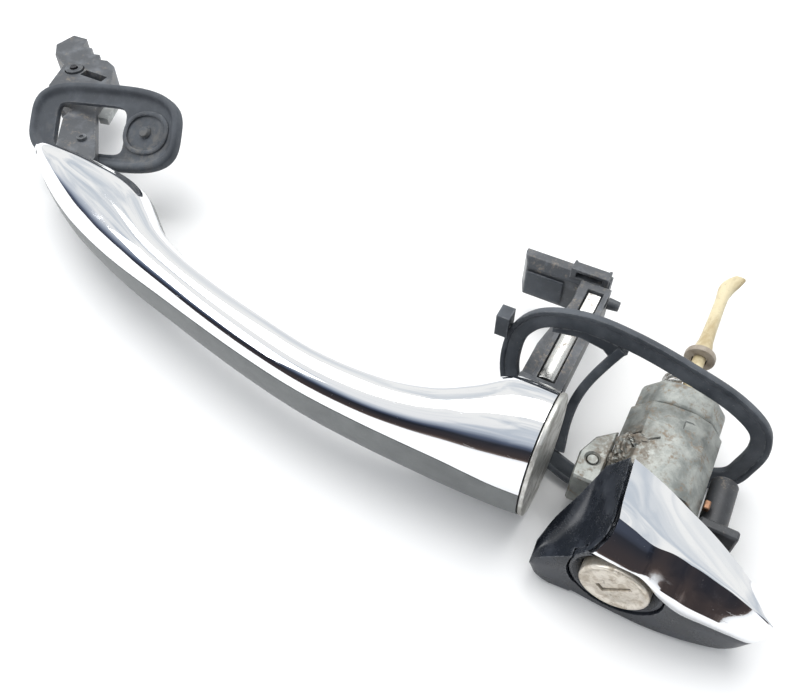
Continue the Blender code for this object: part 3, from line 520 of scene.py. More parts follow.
def steel_paint(name, colour=BARE_STEEL, rough=0.24, grime=0.6, stain=RUST, painted_hollow_shade=None):
    """Brushed metal with stains; the last argument is a (place, radius, fade) row painted nearly black, as
    painted shade in a hollow.
    """
    p = Paint(name, colour, 1.0, rough)
    brushed = p.noise(0.25, 2, 0.5, 0.0, p.stretched((1.0, 0.08, 1.0)))
    dirt = p.patchy(p.ramp(p.noise(3.0, 5, 0.65, 0.5), 0.48, 0.66), p.noise(0.6, 4), 0.35, 0.6)
    base = p.mix(p.ramp(brushed, 0.3, 0.7), tuple(c * 0.84 for c in colour), colour)
    base = p.mix(p.math("MULTIPLY", dirt, grime), base, stain)
    if painted_hollow_shade:
        # painted shade: the hollow painted nearly black
        base = p.mix(p.near(*painted_hollow_shade), base, (0.06, 0.06, 0.065))
    p.feed("Base Color", base)
    sheen = p.ramp(brushed, 0.3, 0.7, rough - 0.06, rough + 0.08)
    p.feed("Roughness", p.math("ADD", sheen, p.math("MULTIPLY", dirt, 0.35)))
    p.feed("Metallic", p.math("SUBTRACT", 1.0, p.math("MULTIPLY", dirt, 0.7)))
    p.bump(brushed, 0.01, 0.4)
    p.bump(dirt, 0.03, 0.5)
    return p.mat


def cap_black_paint(name):
    """Glossy black moulding with dust and pale rubbed edges."""
    p = Paint(name, (0.02, 0.023, 0.03), 0.0, 0.30)
    patch = p.ramp(p.noise(9, 4, 0.6), 0.40, 0.70)
    base = p.mix(patch, (0.014, 0.017, 0.023), (0.032, 0.037, 0.048))
    dust = p.patchy(p.ramp(p.noise(5, 5, 0.6), 0.46, 0.70), p.noise(0.55, 3, 0.7), 0.50, 0.68)
    base = p.mix(p.math("MULTIPLY", dust, 0.22), base, (0.26, 0.27, 0.29))
    rub = p.patchy(p.edges(0.6), p.noise(1.5, 4), 0.42, 0.62)
    base = p.mix(p.math("MULTIPLY", rub, 0.45), base, (0.20, 0.21, 0.23))
    p.feed("Base Color", base)
    p.feed("Roughness", p.math("ADD", p.ramp(patch, 0, 1, 0.24, 0.36), p.math("MULTIPLY", dust, 0.4)))
    p.bump(p.noise(0.5, 2), 0.015, 0.5)
    p.bump(p.noise(5, 2), 0.04, 0.3)
    return p.mat


def nickel_paint(name):
    """Warm plated face, smeared and gritty."""
    p = Paint(name, (0.70, 0.64, 0.55), 0.75, 0.34)
    smear = p.ramp(p.noise(3.2, 5, 0.62, 0.8), 0.40, 0.66)
    base = p.mix(smear, (0.74, 0.69, 0.61), (0.50, 0.44, 0.36))
    grit = p.patchy(p.ramp(p.noise(1.1, 4, 0.65), 0.52, 0.66), p.noise(2.6, 3), 0.42, 0.6)
    base = p.mix(p.math("MULTIPLY", grit, 0.6), base, (0.24, 0.20, 0.15))
    p.feed("Base Color", base)
    p.feed("Roughness", p.math("ADD", p.ramp(smear, 0, 1, 0.34, 0.50), p.math("MULTIPLY", grit, 0.2)))
    p.bump(p.noise(0.8, 3), 0.012, 0.4)
    return p.mat


def beige_paint(name, light=(0.66, 0.58, 0.38), dark=(0.42, 0.33, 0.18), rough=0.42):
    """Aged nylon, clouded along its length, with grit and rubbed edges."""
    p = Paint(name, light, 0.0, rough)
    cloud = p.ramp(p.noise(5, 5, 0.6, 0.4, p.stretched((1.0, 0.4, 1.0))), 0.38, 0.68)
    base = p.mix(cloud, light, dark)
    grit = p.ramp(p.noise(0.6, 4, 0.65), 0.60, 0.72)
    base = p.mix(p.math("MULTIPLY", grit, 0.6), base, tuple(c * 0.35 for c in dark))
    rub = p.patchy(p.edges(0.4), p.noise(1.2, 3), 0.40, 0.6)
    base = p.mix(p.math("MULTIPLY", rub, 0.5), base, tuple(min(1.0, c * 1.25 + 0.05) for c in light))
    p.feed("Base Color", base)
    p.feed("Roughness", p.ramp(cloud, 0, 1, rough - 0.06, rough + 0.14))
    p.bump(p.noise(0.5, 3), 0.03, 0.5)
    return p.mat


def plate_paint(name):
    """Bare plate, clouded and scuffed up and down."""
    p = Paint(name, (0.60, 0.60, 0.57), 0.75, 0.42)
    cloud = p.ramp(p.noise(5, 5, 0.6, 0.5), 0.36, 0.66)
    base = p.mix(cloud, (0.66, 0.66, 0.63), (0.40, 0.39, 0.36))
    scuff = p.ramp(p.noise(0.9, 3, 0.6, 0.2, p.stretched((1.0, 1.0, 0.1))), 0.58, 0.72)
    base = p.mix(p.math("MULTIPLY", scuff, 0.6), base, (0.24, 0.22, 0.19))
    p.feed("Base Color", base)
    p.feed("Roughness", p.math("ADD", p.ramp(cloud, 0, 1, 0.34, 0.5), p.math("MULTIPLY", scuff, 0.2)))
    p.bump(scuff, 0.03, 0.5)
    p.bump(p.noise(0.5, 3), 0.02, 0.4)
    return p.mat


CHROME = chrome_paint("chrome_look")
GREY = grey_paint("grip_grey_look")
FRAME_BLACK = worn_black_paint("frame_black_look", (0.030, 0.032, 0.036), (0.20, 0.20, 0.20))
ARM_BLACK = worn_black_paint("arm_black_look", (0.055, 0.060, 0.068), (0.30, 0.31, 0.31), 0.55, 0.50,
                             ARM_CRUST, ARM_RUBBED)
PALE = worn_black_paint("wedge_pale_look", (0.22, 0.23, 0.23), (0.50, 0.50, 0.48), 0.5, 0.5)
RUBBER = rubber_paint("rubber_look")
ZINC = zinc_paint("zinc_look")
STEEL = steel_paint("steel_look", painted_hollow_shade=BUSH_HOLLOW)
COPPER = steel_paint("copper_look", (0.34, 0.19, 0.12), 0.45, 0.8, (0.09, 0.06, 0.04))
BRASS = steel_paint("plug_brass_look", (0.56, 0.46, 0.26), 0.32, 0.5)
CAP_BLACK = cap_black_paint("cap_black_look")
NICKEL = nickel_paint("nickel_look")
BEIGE = beige_paint("tail_beige_look")
BROWN = beige_paint("flange_brown_look", (0.36, 0.31, 0.25), (0.20, 0.16, 0.12), 0.5)
PLATE = plate_paint("end_plate_look")

LOOK_OF_SLOT = {
    "chrome": CHROME, "grip_grey": GREY, "end_plate": PLATE, "frame_black": FRAME_BLACK,
    "arm_black": ARM_BLACK, "wedge_pale": PALE, "steel": STEEL, "rubber": RUBBER, "cap_black": CAP_BLACK,
    "zinc": ZINC, "copper": COPPER, "nickel_face": NICKEL, "plug_brass": BRASS, "tail_beige": BEIGE,
    "flange_brown": BROWN,
}
SLOT_OF_NODE = {s["node"]: s["material_slot"] for s in frame["record"]["subparts"]}
BODY_OF_NODE = {n: body for body, names in frame["record"]["behaviour"]["bodies"].items() for n in names}


def stand_for(obj, *nodes):
    """The new piece takes over the nodes' place, body, slot and finish."""
    node = nodes[0]
    obj.data.materials.clear()
    obj.data.materials.append(LOOK_OF_SLOT[SLOT_OF_NODE[node]])
    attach(obj, BODY_OF_NODE[node])
    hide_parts(*nodes)


def dress_nodes():
    """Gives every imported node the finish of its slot."""
    for name, obj in frame["nodes"].items():
        obj.data.materials.clear()
        obj.data.materials.append(LOOK_OF_SLOT[SLOT_OF_NODE[name]])
        for face in obj.data.polygons:
            face.material_index = 0


# ------------------------------------------------------------------ grip

# x, outer face, inner face, underside, top, and the angle of the seam between the shells
GRIP_STATIONS = (
    (-6.4, -42.0, -10.0, 0.2, 45.0, 3), (-14.0, -43.0, -9.6, 0.8, 44.6, 5),
    (-21.0, -43.6, -10.4, 1.8, 43.6, 8), (-29.0, -44.0, -16.5, 4.0, 41.4, 12),
    (-40.0, -44.4, -22.6, 7.0, 38.4, 17), (-56.0, -44.4, -26.0, 9.2, 36.0, 22),
    (-78.0, -43.0, -26.0, 10.0, 35.0, 24), (-100.0, -39.6, -22.2, 10.0, 35.0, 24),
    (-121.0, -35.2, -17.8, 9.8, 35.2, 23), (-140.0, -30.6, -12.6, 9.0, 35.8, 20),
    (-154.0, -27.2, -6.6, 7.8, 36.6, 17), (-164.0, -24.4, 0.6, 6.8, 37.2, 14),
    (-173.0, -21.6, 7.4, 6.0, 37.6, 12), (-183.0, -18.0, 11.4, 5.6, 37.6, 10),
    (-196.0, -12.8, 13.6, 5.6, 36.8, 9), (-209.0, -6.4, 15.0, 6.6, 35.2, 8),
    (-221.0, 0.4, 16.0, 8.8, 32.6, 8), (-231.0, 7.0, 16.8, 12.0, 29.4, 8),
    (GRIP_TIP_X, 12.0, 17.4, 16.0, 25.6, 8),
)
INNER_SEAM = 152
END_PLATE_THICK = 1.5
EDGE_ROUND = 0.22


def grip_point(station, angle, inset):
    """Point of the grip's section: 0 degrees is the outer face, 90 the top."""
    x, outer, inner, low, high, _ = station
    a = (inner - outer) / 2 - inset
    b = (high - low) / 2 - inset
    c, s = math.cos(math.radians(angle)), math.sin(math.radians(angle))
    y = (inner + outer) / 2 - a * power_wave(c, 0.82 if c < 0 else 0.94)
    z = (high + low) / 2 + b * power_wave(s, 0.94)
    return (x, y, z)


def shell_ring(station, start, stop, steps):
    """Section of a shell between two angles: out along its face, back along its inside."""
    size = (station[4] - station[3]) / 2
    trim = math.degrees(GAP / 2 / size)
    wall = min(SHELL, size * 0.4)
    start, stop = start + trim, stop - trim
    angles = [start + (stop - start) * k / steps for k in range(steps + 1)]
    outer = [grip_point(station, t, 0.0) for t in angles]
    inner = [grip_point(station, t, wall) for t in reversed(angles)]
    return outer + inner


def front_socket():
    return box((-233.4, 8.6, 19.4), (-206.4, 34.0, 27.4))


def rear_socket():
    return box((-22.8, -19.0, 11.4), (-7.8, 4.0, 26.2))


def make_grip():
    stations = spline_rows(GRIP_STATIONS, 5)
    top = to_object("grip_chrome", loft([shell_ring(s, s[5], INNER_SEAM, 44) for s in stations]), CHROME)
    carve(top, [front_socket()])
    bevel(top, EDGE_ROUND)
    stand_for(top, "grip_chrome_shell")
    rings = [shell_ring(s, INNER_SEAM, 360 + s[5], 64) for s in stations]
    low = to_object("grip_underside", loft(rings), GREY)
    carve(low, [rear_socket(), front_socket()])
    bevel(low, EDGE_ROUND)
    stand_for(low, "grip_lower_shell")
    first = GRIP_STATIONS[0]
    face = []
    for x in (first[0] + GAP, first[0] + GAP + END_PLATE_THICK):
        face.append([grip_point((x, *first[1:]), t, GAP / 2) for t in range(0, 360, 4)])
    end = to_object("grip_end_face", loft(face), PLATE)
    bevel(end, 0.4, 3)
    stand_for(end, "grip_end_plate")


# ------------------------------------------------------------------ head of the hook arm

def make_hook_head():
    """The bar: a slanted left end, and a groove and rest beside the arm."""
    y = HEAD_Y
    section = ((y, 9.4), (y, 22.6), (y + 2.6, 25.4), (y + 6.2, 25.4), (y + 6.2, 11.6), (y + 4.4, 9.4))
    head = to_object("latch_bar", prism(section, -41.0, -9.8, axis=0), ARM_BLACK)
    carve(head, [box((-23.6, y + 0.8, 22.0), (-10.4, y + 5.6, 28.0))], "UNION")
    corner = ((-45.0, y - 3.0), (-38.0, y - 3.0), (-38.9, y), (-41.4, y + 5.4), (-45.0, y + 5.4))
    groove = box((-22.6, y + 5.0, 23.4), (-11.4, y + 9.0, 34.0))
    rest = box((-21.6, y - 1.0, 24.6), (-12.4, y + 4.6, 26.8))
    carve(head, [groove, rest, prism(corner, 5.0, 40.0)])
    bevel(head, 0.6, 3, 30)
    stand_for(head, "hook_head")


# ------------------------------------------------------------------ cap

# x, outer face, underside, seam of the chrome, ridge, and y and z of the back edge
CAP_STATIONS = (
    (18.2, -50.0, 0.6, 26.6, 38.6, -26.0, 39.0), (24.0, -50.3, 0.3, 26.4, 37.6, -27.0, 37.0),
    (30.0, -50.4, 0.3, 26.0, 36.2, -28.0, 34.4), (36.0, -50.4, 0.3, 20.6, 34.4, -29.4, 31.6),
    (42.0, -50.2, 1.0, 16.8, 32.2, -30.8, 29.0), (49.0, -49.6, 2.2, 15.8, 29.6, -33.4, 26.2),
    (56.0, -48.6, 4.0, 14.4, 26.8, -37.0, 23.6), (61.5, -47.2, 6.2, 12.2, 23.8, -40.4, 21.0),
    (65.2, -45.8, 8.4, 11.2, 20.6, -42.6, 18.6), (66.0, -44.8, 9.6, 11.6, 18.4, -43.2, 17.2),
)
RIDGE_DROP = 1.7
CAP_LEAN = (-1.4, -1.0, -0.4, 1.6, 1.9, 1.2, 0.6, 0.0)


def lean_at(x):
    """How much of CAP_LEAN applies: all of it at the left edge of the chrome, none past x 27."""
    return between((27.0 - x) / 8.8, 0.0, 1.0)


def lip_height(x, rise):
    """Height of the upright lip above the seam: thin over the key, taller beyond it."""
    return rise * (0.14 + 0.24 * between((x - 28.0) / 12.0, 0.0, 1.0))


def tip_x(x, z, low, ridge):
    """Draws the lower part of the pointed end back, so the end is slanted and rounded."""
    reach = max(0.0, (x - 54.0) / 13.3) ** 1.5
    return x - 5.0 * reach * between((ridge - z) / (ridge - low), 0.0, 1.0)


def cap_section(station, inset=0.0):
    """Line over the chrome: upright lip, sloping front, nearly flat top."""
    x, outer, low, seam, ridge, back, back_z = station
    top = ridge - RIDGE_DROP
    rise = top - seam
    lean = lean_at(x)
    deep = back - outer
    inset = min(inset, deep * 0.42)
    lip = lip_height(x, rise)
    face = min((rise - lip) * 0.75, deep * 0.36)
    points = [
        (outer + inset, seam),
        (outer - 0.3 + inset, seam + lip * 0.5),
        (outer + inset, seam + lip),
        (outer + face * 0.48 + inset * 0.9, seam + lip + (rise - lip) * 0.52 - inset * 0.3),
        (outer + face + inset * 0.6, top - inset),
        (outer + deep * 0.44, top + (back_z - top) * 0.34 + 0.6 - inset),
        (outer + deep * 0.72, top + (back_z - top) * 0.68 + 0.5 - inset),
        (back, back_z - inset),
    ]
    points = [(tip_x(x + lean * CAP_LEAN[k], z, low, ridge), y, z) for k, (y, z) in enumerate(points)]
    line = spline_open(points[:3], 5)[:-1] + spline_open(points[2:5], 5)[:-1] + spline_open(points[4:], 6)
    return [tuple(p) for p in line]


def make_cap():
    stations = spline_rows(CAP_STATIONS, 6)
    rings = [cap_section(s) + cap_section(s, CAP_WALL)[::-1] for s in stations]
    top = to_object("cap_cover", loft(rings), CHROME, 24)
    bevel(top, 0.45, 3, 18)
    stand_for(top, "cap_chrome")


# x, outer face, underside, front rim, back, height at the back, sag of the bowl, shift of its foot
BASE_LEFT = (
    (2.4, -50.2, 6.4, 8.4, -46.6, 14.2, 0.4, 0.0), (4.6, -50.9, 3.0, 12.0, -40.4, 18.8, 1.4, 0.0),
    (8.4, -50.9, 0.8, 16.2, -33.4, 22.2, 2.6, 0.4), (12.4, -50.5, 0.3, 19.6, -28.4, 27.8, 3.6, 1.6),
    (15.0, -50.3, 0.3, 22.2, -26.8, 32.0, 3.8, 2.8),
)
SECTION = 39
# how far left of the chrome its edge is followed, and where the section under it starts
EDGE_GAP = 1.1
FILL_START = 0.35


def skirt_points(x, outer, low, front):
    """Outer wall of the base, from its rounded foot up to the front rim."""
    points = [(x, outer + 1.2, low), (x, outer + 0.3, low + 0.7)]
    for t in (0, 0.25, 0.5, 0.75, 1):
        points.append((x, outer + 0.25 * (1 - t) ** 2, low + (front - low) * (0.2 + 0.7 * t)))
    return points


def back_points(x, back, low, high):
    """Back wall of the base, down to the underside."""
    return [(x, back, low + (high - low) * 0.4), (x, back - 0.6, low + 0.4)]


def base_ring(x, outer, low, front, back, high, sag, foot):
    """Left end of the base: skirt, rounded rim, hollowed top, back."""
    ring = skirt_points(x, outer, low, front - 1.2)
    for k in range(SECTION):
        t = k / (SECTION - 1)
        y = outer + 0.9 + (back - outer - 0.9) * t
        z = front + (high - front) * t ** 1.3 - sag * math.sin(math.pi * t)
        ring.append((x - foot * t, y, z))
    return ring + back_points(x - foot, back, low, high)


def edge_ring(station):
    """Follows the left edge of the chrome, a little way left of it."""
    x, outer, low, seam, _, back, back_z = station
    ring = skirt_points(x + CAP_LEAN[0] - EDGE_GAP, outer, low, seam - 1.2)
    ring += [(a - EDGE_GAP, y, z) for a, y, z in cap_section(station, 0.2)]
    return ring + back_points(x - EDGE_GAP, back, low, back_z)


def fill_ring(station):
    """Section of the base under the chrome."""
    x, outer, low, seam, ridge, back, back_z = station
    under = CAP_WALL + GAP + max(0.0, x - 58.0) * 0.12
    inner_y = outer + under
    half = (outer + back) / 2
    lean = lean_at(x)
    shoulder = (min(outer + 7.4, half), ridge - under - 3.2)
    slope = (outer + (back - outer) * 0.6, ridge + (back_z - ridge) * 0.5 - under - 0.2)
    last = (back, back_z - under - 0.2)
    near = (min(inner_y + 0.4, half), seam + lip_height(x, ridge - RIDGE_DROP - seam) + 0.3)
    corners = ((outer + 0.2, seam - GAP), (inner_y, seam - GAP), near, shoulder, slope, last)
    leans = [CAP_LEAN[k] for k in (0, 1, 2, 3, 5, 7)]
    ring = skirt_points(x + lean * CAP_LEAN[0], outer, low, seam)
    for k in range(SECTION):
        at = k / (SECTION - 1) * (len(corners) - 1)
        n = min(int(at), len(corners) - 2)
        t = at - n
        y = corners[n][0] + (corners[n + 1][0] - corners[n][0]) * t
        z = corners[n][1] + (corners[n + 1][1] - corners[n][1]) * t
        ring.append((x + lean * (leans[n] + (leans[n + 1] - leans[n]) * t), y, z))
    ring += back_points(x, back, low, back_z - under)
    return [(tip_x(a, z, low, ridge), y, z) for a, y, z in ring]


def seam_prism(drop):
    """Everything above the cap's lower seam, lowered by a margin."""
    edge = [(s[0], s[3] - drop) for s in spline_rows(CAP_STATIONS, 3)]
    left, above = edge[0][0] - 12, 60.0
    outline = [(left, edge[0][1])] + edge + [(edge[-1][0], above), (left, above)]
    return prism(outline, -60.0, -40.0, axis=1)


def make_base():
    first = CAP_STATIONS[0]
    rings = [base_ring(*row) for row in spline_rows(BASE_LEFT, 6)] + [edge_ring(first)]
    under_chrome = spline_rows(CAP_STATIONS[:-1], 3)
    under_chrome[0] = (first[0] - FILL_START, *first[1:])
    rings += [fill_ring(s) for s in under_chrome]
    base = to_object("cap_body", loft(rings), CAP_BLACK)
    carve(base, [lock_bore(RECESS_BORE, -60, -46.6, 96), lock_bore(PLUG_BORE, -62, -10)])
    bevel(base, 0.35, 3, 40)
    stand_for(base, "cap_base")
    wide, tight, front, back = RECESS_BORE - GAP, FACE_RADIUS + GAP, -49.6, -47.3
    profile = (
        (wide, front + 0.3), (wide - 0.3, front), (wide - 1.0, front), (10.3, front + 1.3),
        (tight, back - 0.5), (tight, back), (wide, back),
    )
    ring = to_object("key_recess", lathe(profile), CAP_BLACK)
    carve(ring, [seam_prism(1.6)])
    stand_for(ring, "key_recess_ring")


# ------------------------------------------------------------------ lock

def turned(point):
    """A point of the plug turned about the lock axis to the key's angle."""
    t = math.radians(KEY_ANGLE)
    x, y, z = point
    return (LOCK_X + x * math.cos(t) - z * math.sin(t), y, LOCK_Z + x * math.sin(t) + z * math.cos(t))


def turned_box(low, high):
    bm = box(low, high)
    for vert in bm.verts:
        vert.co = turned(vert.co)
    return bm


def make_key_face():
    """Slightly dished disc with a rolled rim, cut by the key slot and by room for the shutter."""
    y, r, back = FACE_Y, FACE_RADIUS, FACE_BACK
    profile = (
        (0.0, y + 0.62), (3.6, y + 0.60), (6.6, y + 0.52), (7.1, y + 0.60), (7.5, y + 0.52), (7.9, y + 0.34),
        (8.3, y + 0.10), (8.7, y), (9.1, y + 0.04), (9.4, y + 0.22), (9.58, y + 0.55), (r, y + 1.0),
        (r, back - 0.2), (r - 0.2, back), (0.0, back),
    )
    face = to_object("key_face", disc(profile), NICKEL)
    long, wide, behind = SLOT_HALF_LENGTH, SLOT_HALF_WIDTH, back + 0.1
    slot = turned_box((-long, -70, -wide), (long, behind, wide))
    shutter_room = turned_box((0.05 - long, -50.1, 1.1), (long - 0.05, behind, 2.95))
    carve(face, [slot, shutter_room])
    bevel(face, 0.18, 2, 40)
    stand_for(face, "plug_face")


# y, sideways shift, half width, half height
TAIL_STATIONS = (
    (20.6, 0.0, 2.1, 2.1), (39.6, 0.0, 2.1, 2.1), (40.2, 0.0, 3.0, 3.0), (42.4, 0.0, 2.8, 2.8),
    (46.0, 0.0, 2.3, 2.3), (58.0, 0.0, 2.05, 2.0), (68.0, 0.0, 2.1, 1.9), (73.0, 0.4, 2.7, 1.8),
    (77.0, 1.7, 2.8, 1.6), (80.5, 3.4, 2.1, 1.3),
)


def make_tail():
    rings = []
    for y, shift, wide, tall in spline_rows(TAIL_STATIONS, 5):
        ring = []
        for t in full_turn(40):
            c, z = power_wave(math.cos(t), 0.8), power_wave(math.sin(t), 0.8)
            ring.append((LOCK_X + shift + wide * c, y, LOCK_Z + tall * z))
        rings.append(ring)
    tail = to_object("tail_shaft", loft(rings), BEIGE)
    bevel(tail, 0.4, 3, 50)
    stand_for(tail, "tail_rod")
    inner, rim, front, back = 2.5, 5.0, 36.6, 39.0
    flange = (
        (inner, front), (rim - 0.4, front), (rim - 0.1, front + 0.2), (rim, front + 0.6), (rim, back - 0.6),
        (rim - 0.1, back - 0.2), (rim - 0.4, back), (3.4, back - 0.2), (inner, back),
    )
    stand_for(to_object("tail_disc", lathe(flange), BROWN), "tail_flange")


# centre, radii, phase of the waves
GRIME_LUMPS = (
    ((14.6, -13.6, 24.6), (2.8, 4.6, 2.6), 0.3), ((17.4, -11.2, 26.8), (3.4, 2.0, 1.8), 1.7),
    ((13.4, -17.8, 22.4), (1.9, 2.8, 2.6), 2.9),
)


def lump(centre, radii, phase):
    """Crusted blob with a wavy surface."""
    bm = bmesh.new()
    bmesh.ops.create_icosphere(bm, subdivisions=4, radius=1.0)
    for vert in bm.verts:
        x, y, z = vert.co
        wave = 0.16 * math.sin(5.1 * x + phase) * math.sin(4.3 * y - phase)
        wave += 0.10 * math.sin(9.7 * z + 7.1 * x + phase)
        wave += 0.05 * math.sin(17.0 * y + 13.0 * z)
        vert.co = [c + r * k * (1.0 + wave) for c, r, k in zip(centre, radii, (x, y, z))]
    return bm


def arched_block(name, half, low, shoulders, front, back):
    """Block with upright sides and an arched top, whose corners are the shoulders, left to right."""
    outline = [(-half, low), (-half, shoulders[0]), *shoulders[1:-1], (half, shoulders[-1]), (half, low)]
    return to_object(name, prism([(LOCK_X + x, z) for x, z in outline], front, back, axis=1), ZINC, 30)


def make_housing():
    half = 13.6
    shoulders = (21.4, (-8.2, 27.9), (-3.0, 29.0), (4.0, 29.0), (9.0, 27.2), 21.6)
    body = arched_block("lock_body", half, 7.2, shoulders, HOUSING_FRONT, HOUSING_BACK)
    left_notch = box((LOCK_X - half - 1, -14.0, 24.0), (LOCK_X - half + 5.4, -8.0, 34.0))
    top_notch = box((LOCK_X + 2.0, -2.6, 28.4), (LOCK_X + 9.0, 0.4, 34.0))
    carve(body, [lock_bore(PLUG_BORE, -40, 20), left_notch, top_notch], smooth=30)
    bevel(body, 0.7, 4, 20)
    bake_modifiers(body)
    loose_pin = rod(0.7, (17.0, -11.5, 27.4), (22.4, -8.6, 29.4), 16, 0.45)
    carve(body, [lump(*row) for row in GRIME_LUMPS] + [loose_pin], "UNION", 34)
    stand_for(body, "lock_housing")
    shoulders = (20.8, (-7.6, 27.2), (-3.0, 28.2), (3.6, 28.2), (8.4, 26.5), 21.0)
    cover = arched_block("lock_end", 12.8, 6.2, shoulders, COVER_FRONT, COVER_BACK)
    carve(cover, [lock_bore(6.2, 0, 30)], smooth=30)
    bevel(cover, 1.3, 5, 20)
    stand_for(cover, "housing_end_cover")


# ------------------------------------------------------------------ gaskets

GASKET_AT = (-218.8, 34.0, 27.2)
GASKET_NORMAL = (-0.05, -0.6, 0.8)
GASKET_TURN = 14
GASKET_HALF = (37.2, 17.4)
GASKET_SKEW = -0.12


def gasket_frame():
    """Directions along and across the front gasket, and out of its face."""
    up = Vector(GASKET_NORMAL).normalized()
    along = Vector((0, 0, 1)).cross(up).normalized() * -1
    if along.x < 0:
        along = along * -1
    across = up.cross(along)
    turn = math.radians(GASKET_TURN)
    c, s = math.cos(turn), math.sin(turn)
    return along * c + across * s, across * c - along * s, up


def oval(half, steps, power=0.62, shift=(0, 0), skew=0.0):
    """Flat outline: an ellipse at power 1, squarer below it."""
    found = []
    for t in full_turn(steps):
        u = half[0] * power_wave(math.cos(t), power)
        v = half[1] * power_wave(math.sin(t), power)
        found.append((u + shift[0] + skew * v, v + shift[1]))
    return found


def make_front_gasket():
    u, v, up = gasket_frame()
    centre = Vector(GASKET_AT)

    def place(pairs, height):
        return [tuple(centre + u * a + v * b + up * height) for a, b in pairs]

    rings = []
    for inset, height in (
            (0.5, -1.0), (0.1, -0.7), (0.0, 0.0), (0.0, 2.2), (0.3, 2.7), (0.9, 3.05), (1.6, 3.2),
            (2.2, 3.1), (2.8, 2.7), (3.3, 2.0), (3.9, 1.5), (4.8, 1.3)):
        half = (GASKET_HALF[0] - inset, GASKET_HALF[1] - inset)
        rings.append(place(oval(half, 160, skew=GASKET_SKEW), height))
    for out, height in ((1.6, 1.0), (0.9, 1.25), (0.3, 1.2), (0.0, 0.8), (0.0, -0.8), (0.3, -1.0)):
        rings.append(place(oval((17.6 + out, 9.9 + out), 160, 0.3, (-6.6, -1.2), GASKET_SKEW), height))
    stand_for(to_object("front_seal", loft(rings, closed_along=True), RUBBER), "front_gasket")
    shift = (21.6, -0.8)
    sizes = ((0.2, 1.5), (0.0, 1.7), (0.2, 1.95), (0.6, 2.1), (1.2, 2.1), (1.6, 1.95), (1.8, 1.7), (1.6, 1.5))
    rings = [place(oval((10.6 - d, 8.8 - d), 96, 0.9, shift), h) for d, h in sizes]
    stand_for(to_object("front_seal_ring", loft(rings, closed_along=True), RUBBER), "front_gasket_bead")


REAR_LOOP = (
    (-8.0, 9.0, 44.0), (8.0, 9.4, 42.4), (26.0, 8.4, 38.8), (38.0, 7.4, 35.4), (46.4, 6.8, 29.6),
    (49.0, 6.4, 22.0), (48.0, 6.0, 13.0), (45.4, 5.0, 6.0), (37.0, 1.6, 3.4), (22.0, -8.6, 3.4),
    (8.0, -15.2, 3.4), (-2.6, -13.6, 3.5), (-13.0, -8.8, 4.2), (-21.6, -1.0, 7.2), (-27.6, 5.4, 14.0),
    (-29.0, 8.6, 22.0), (-27.2, 9.6, 31.0), (-20.6, 9.4, 39.4),
)


def band(path, half_wide, half_thick, centre, closed=True):
    """Flat band with rounded corners and a raised outer edge, its width pointing away from the centre."""
    w, h = half_wide, half_thick
    section = (
        (w - 0.25, h * 1.4), (w - 1.3, h * 1.4), (w - 1.6, h * 1.25), (w - 1.8, h * 1.0), (0.0, h * 0.96),
        (0.5 - w, h), (0.15 - w, h * 0.85), (-w, h * 0.5), (-w, h * -0.5), (0.15 - w, h * -0.85),
        (0.5 - w, -h), (w - 0.5, -h), (w - 0.15, h * -0.85), (w, h * -0.5), (w, h), (w - 0.08, h * 1.25),
    )
    rings = []
    for k, here in enumerate(path):
        before = path[k - 1] if closed or k else here
        after = path[(k + 1) % len(path)] if closed or k + 1 < len(path) else here
        along = (after - before).normalized()
        away = here - centre
        away = (away - along * away.dot(along)).normalized()
        side = along.cross(away).normalized()
        rings.append([tuple(here + away * a + side * b) for a, b in section])
    return rings


def make_rear_gasket():
    path = spline_closed(REAR_LOOP, 12)
    centre = Vector((10.0, 2.0, 20.0))
    loop = to_object("rear_seal", loft(band(path, 3.0, 1.3, centre), closed_along=True), RUBBER)
    stand_for(loop, "rear_gasket")
    points = (
        (4.0, 8.6, 39.0), (1.2, 7.4, 33.0), (-2.4, 4.4, 25.0),
        (-4.4, 1.0, 18.0), (-4.6, -4.0, 12.0), (-3.2, -11.0, 6.0),
    )
    side = Vector((40.0, 0.0, 24.0))
    strap = to_object("rear_seal_web", loft(band(spline_open(points, 8), 1.5, 1.1, side, False)), RUBBER)
    web = (
        (-17.5, 41.0), (-8.0, 43.0), (3.0, 41.5), (5.5, 38.0),
        (1.8, 33.0), (-1.6, 36.4), (-9.0, 37.8), (-17.5, 36.0),
    )
    carve(strap, [prism(web, 8.0, 9.4, axis=1)], "UNION")
    carve(strap, [loft(band(path, 3.4, 1.7, centre), closed_along=True)])
    stand_for(strap, "rear_gasket_strap")


# ------------------------------------------------------------------ nodes that keep their shape

MERGE_M = 2e-6
HIDDEN = ("grip_core", "lock_plug", "lock_sleeve", "wafer_1", "wafer_2", "wafer_3", "shutter_pin")


def refined(name):
    """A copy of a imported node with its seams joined, flat faces merged and fine rounded edges."""
    source = frame["nodes"][name]
    bm = bmesh.new()
    bm.from_mesh(source.data)
    bmesh.ops.remove_doubles(bm, verts=bm.verts, dist=MERGE_M)
    bmesh.ops.dissolve_limit(bm, angle_limit=math.radians(0.6), verts=bm.verts, edges=bm.edges)
    bmesh.ops.recalc_face_normals(bm, faces=bm.faces)
    mesh = bpy.data.meshes.new(name + "_fine")
    bm.to_mesh(mesh)
    bm.free()
    shade(mesh, 35)
    obj = link_object(name + "_fine", mesh)
    bevel(obj, 0.2, 2, 30)
    stand_for(obj, name)


def refine_rest():
    """Every node that no new piece stands for yet and that can be seen."""
    for name in sorted(frame["nodes"]):
        if not frame["nodes"][name].hide_render and name not in HIDDEN:
            refined(name)


# ------------------------------------------------------------------ stage

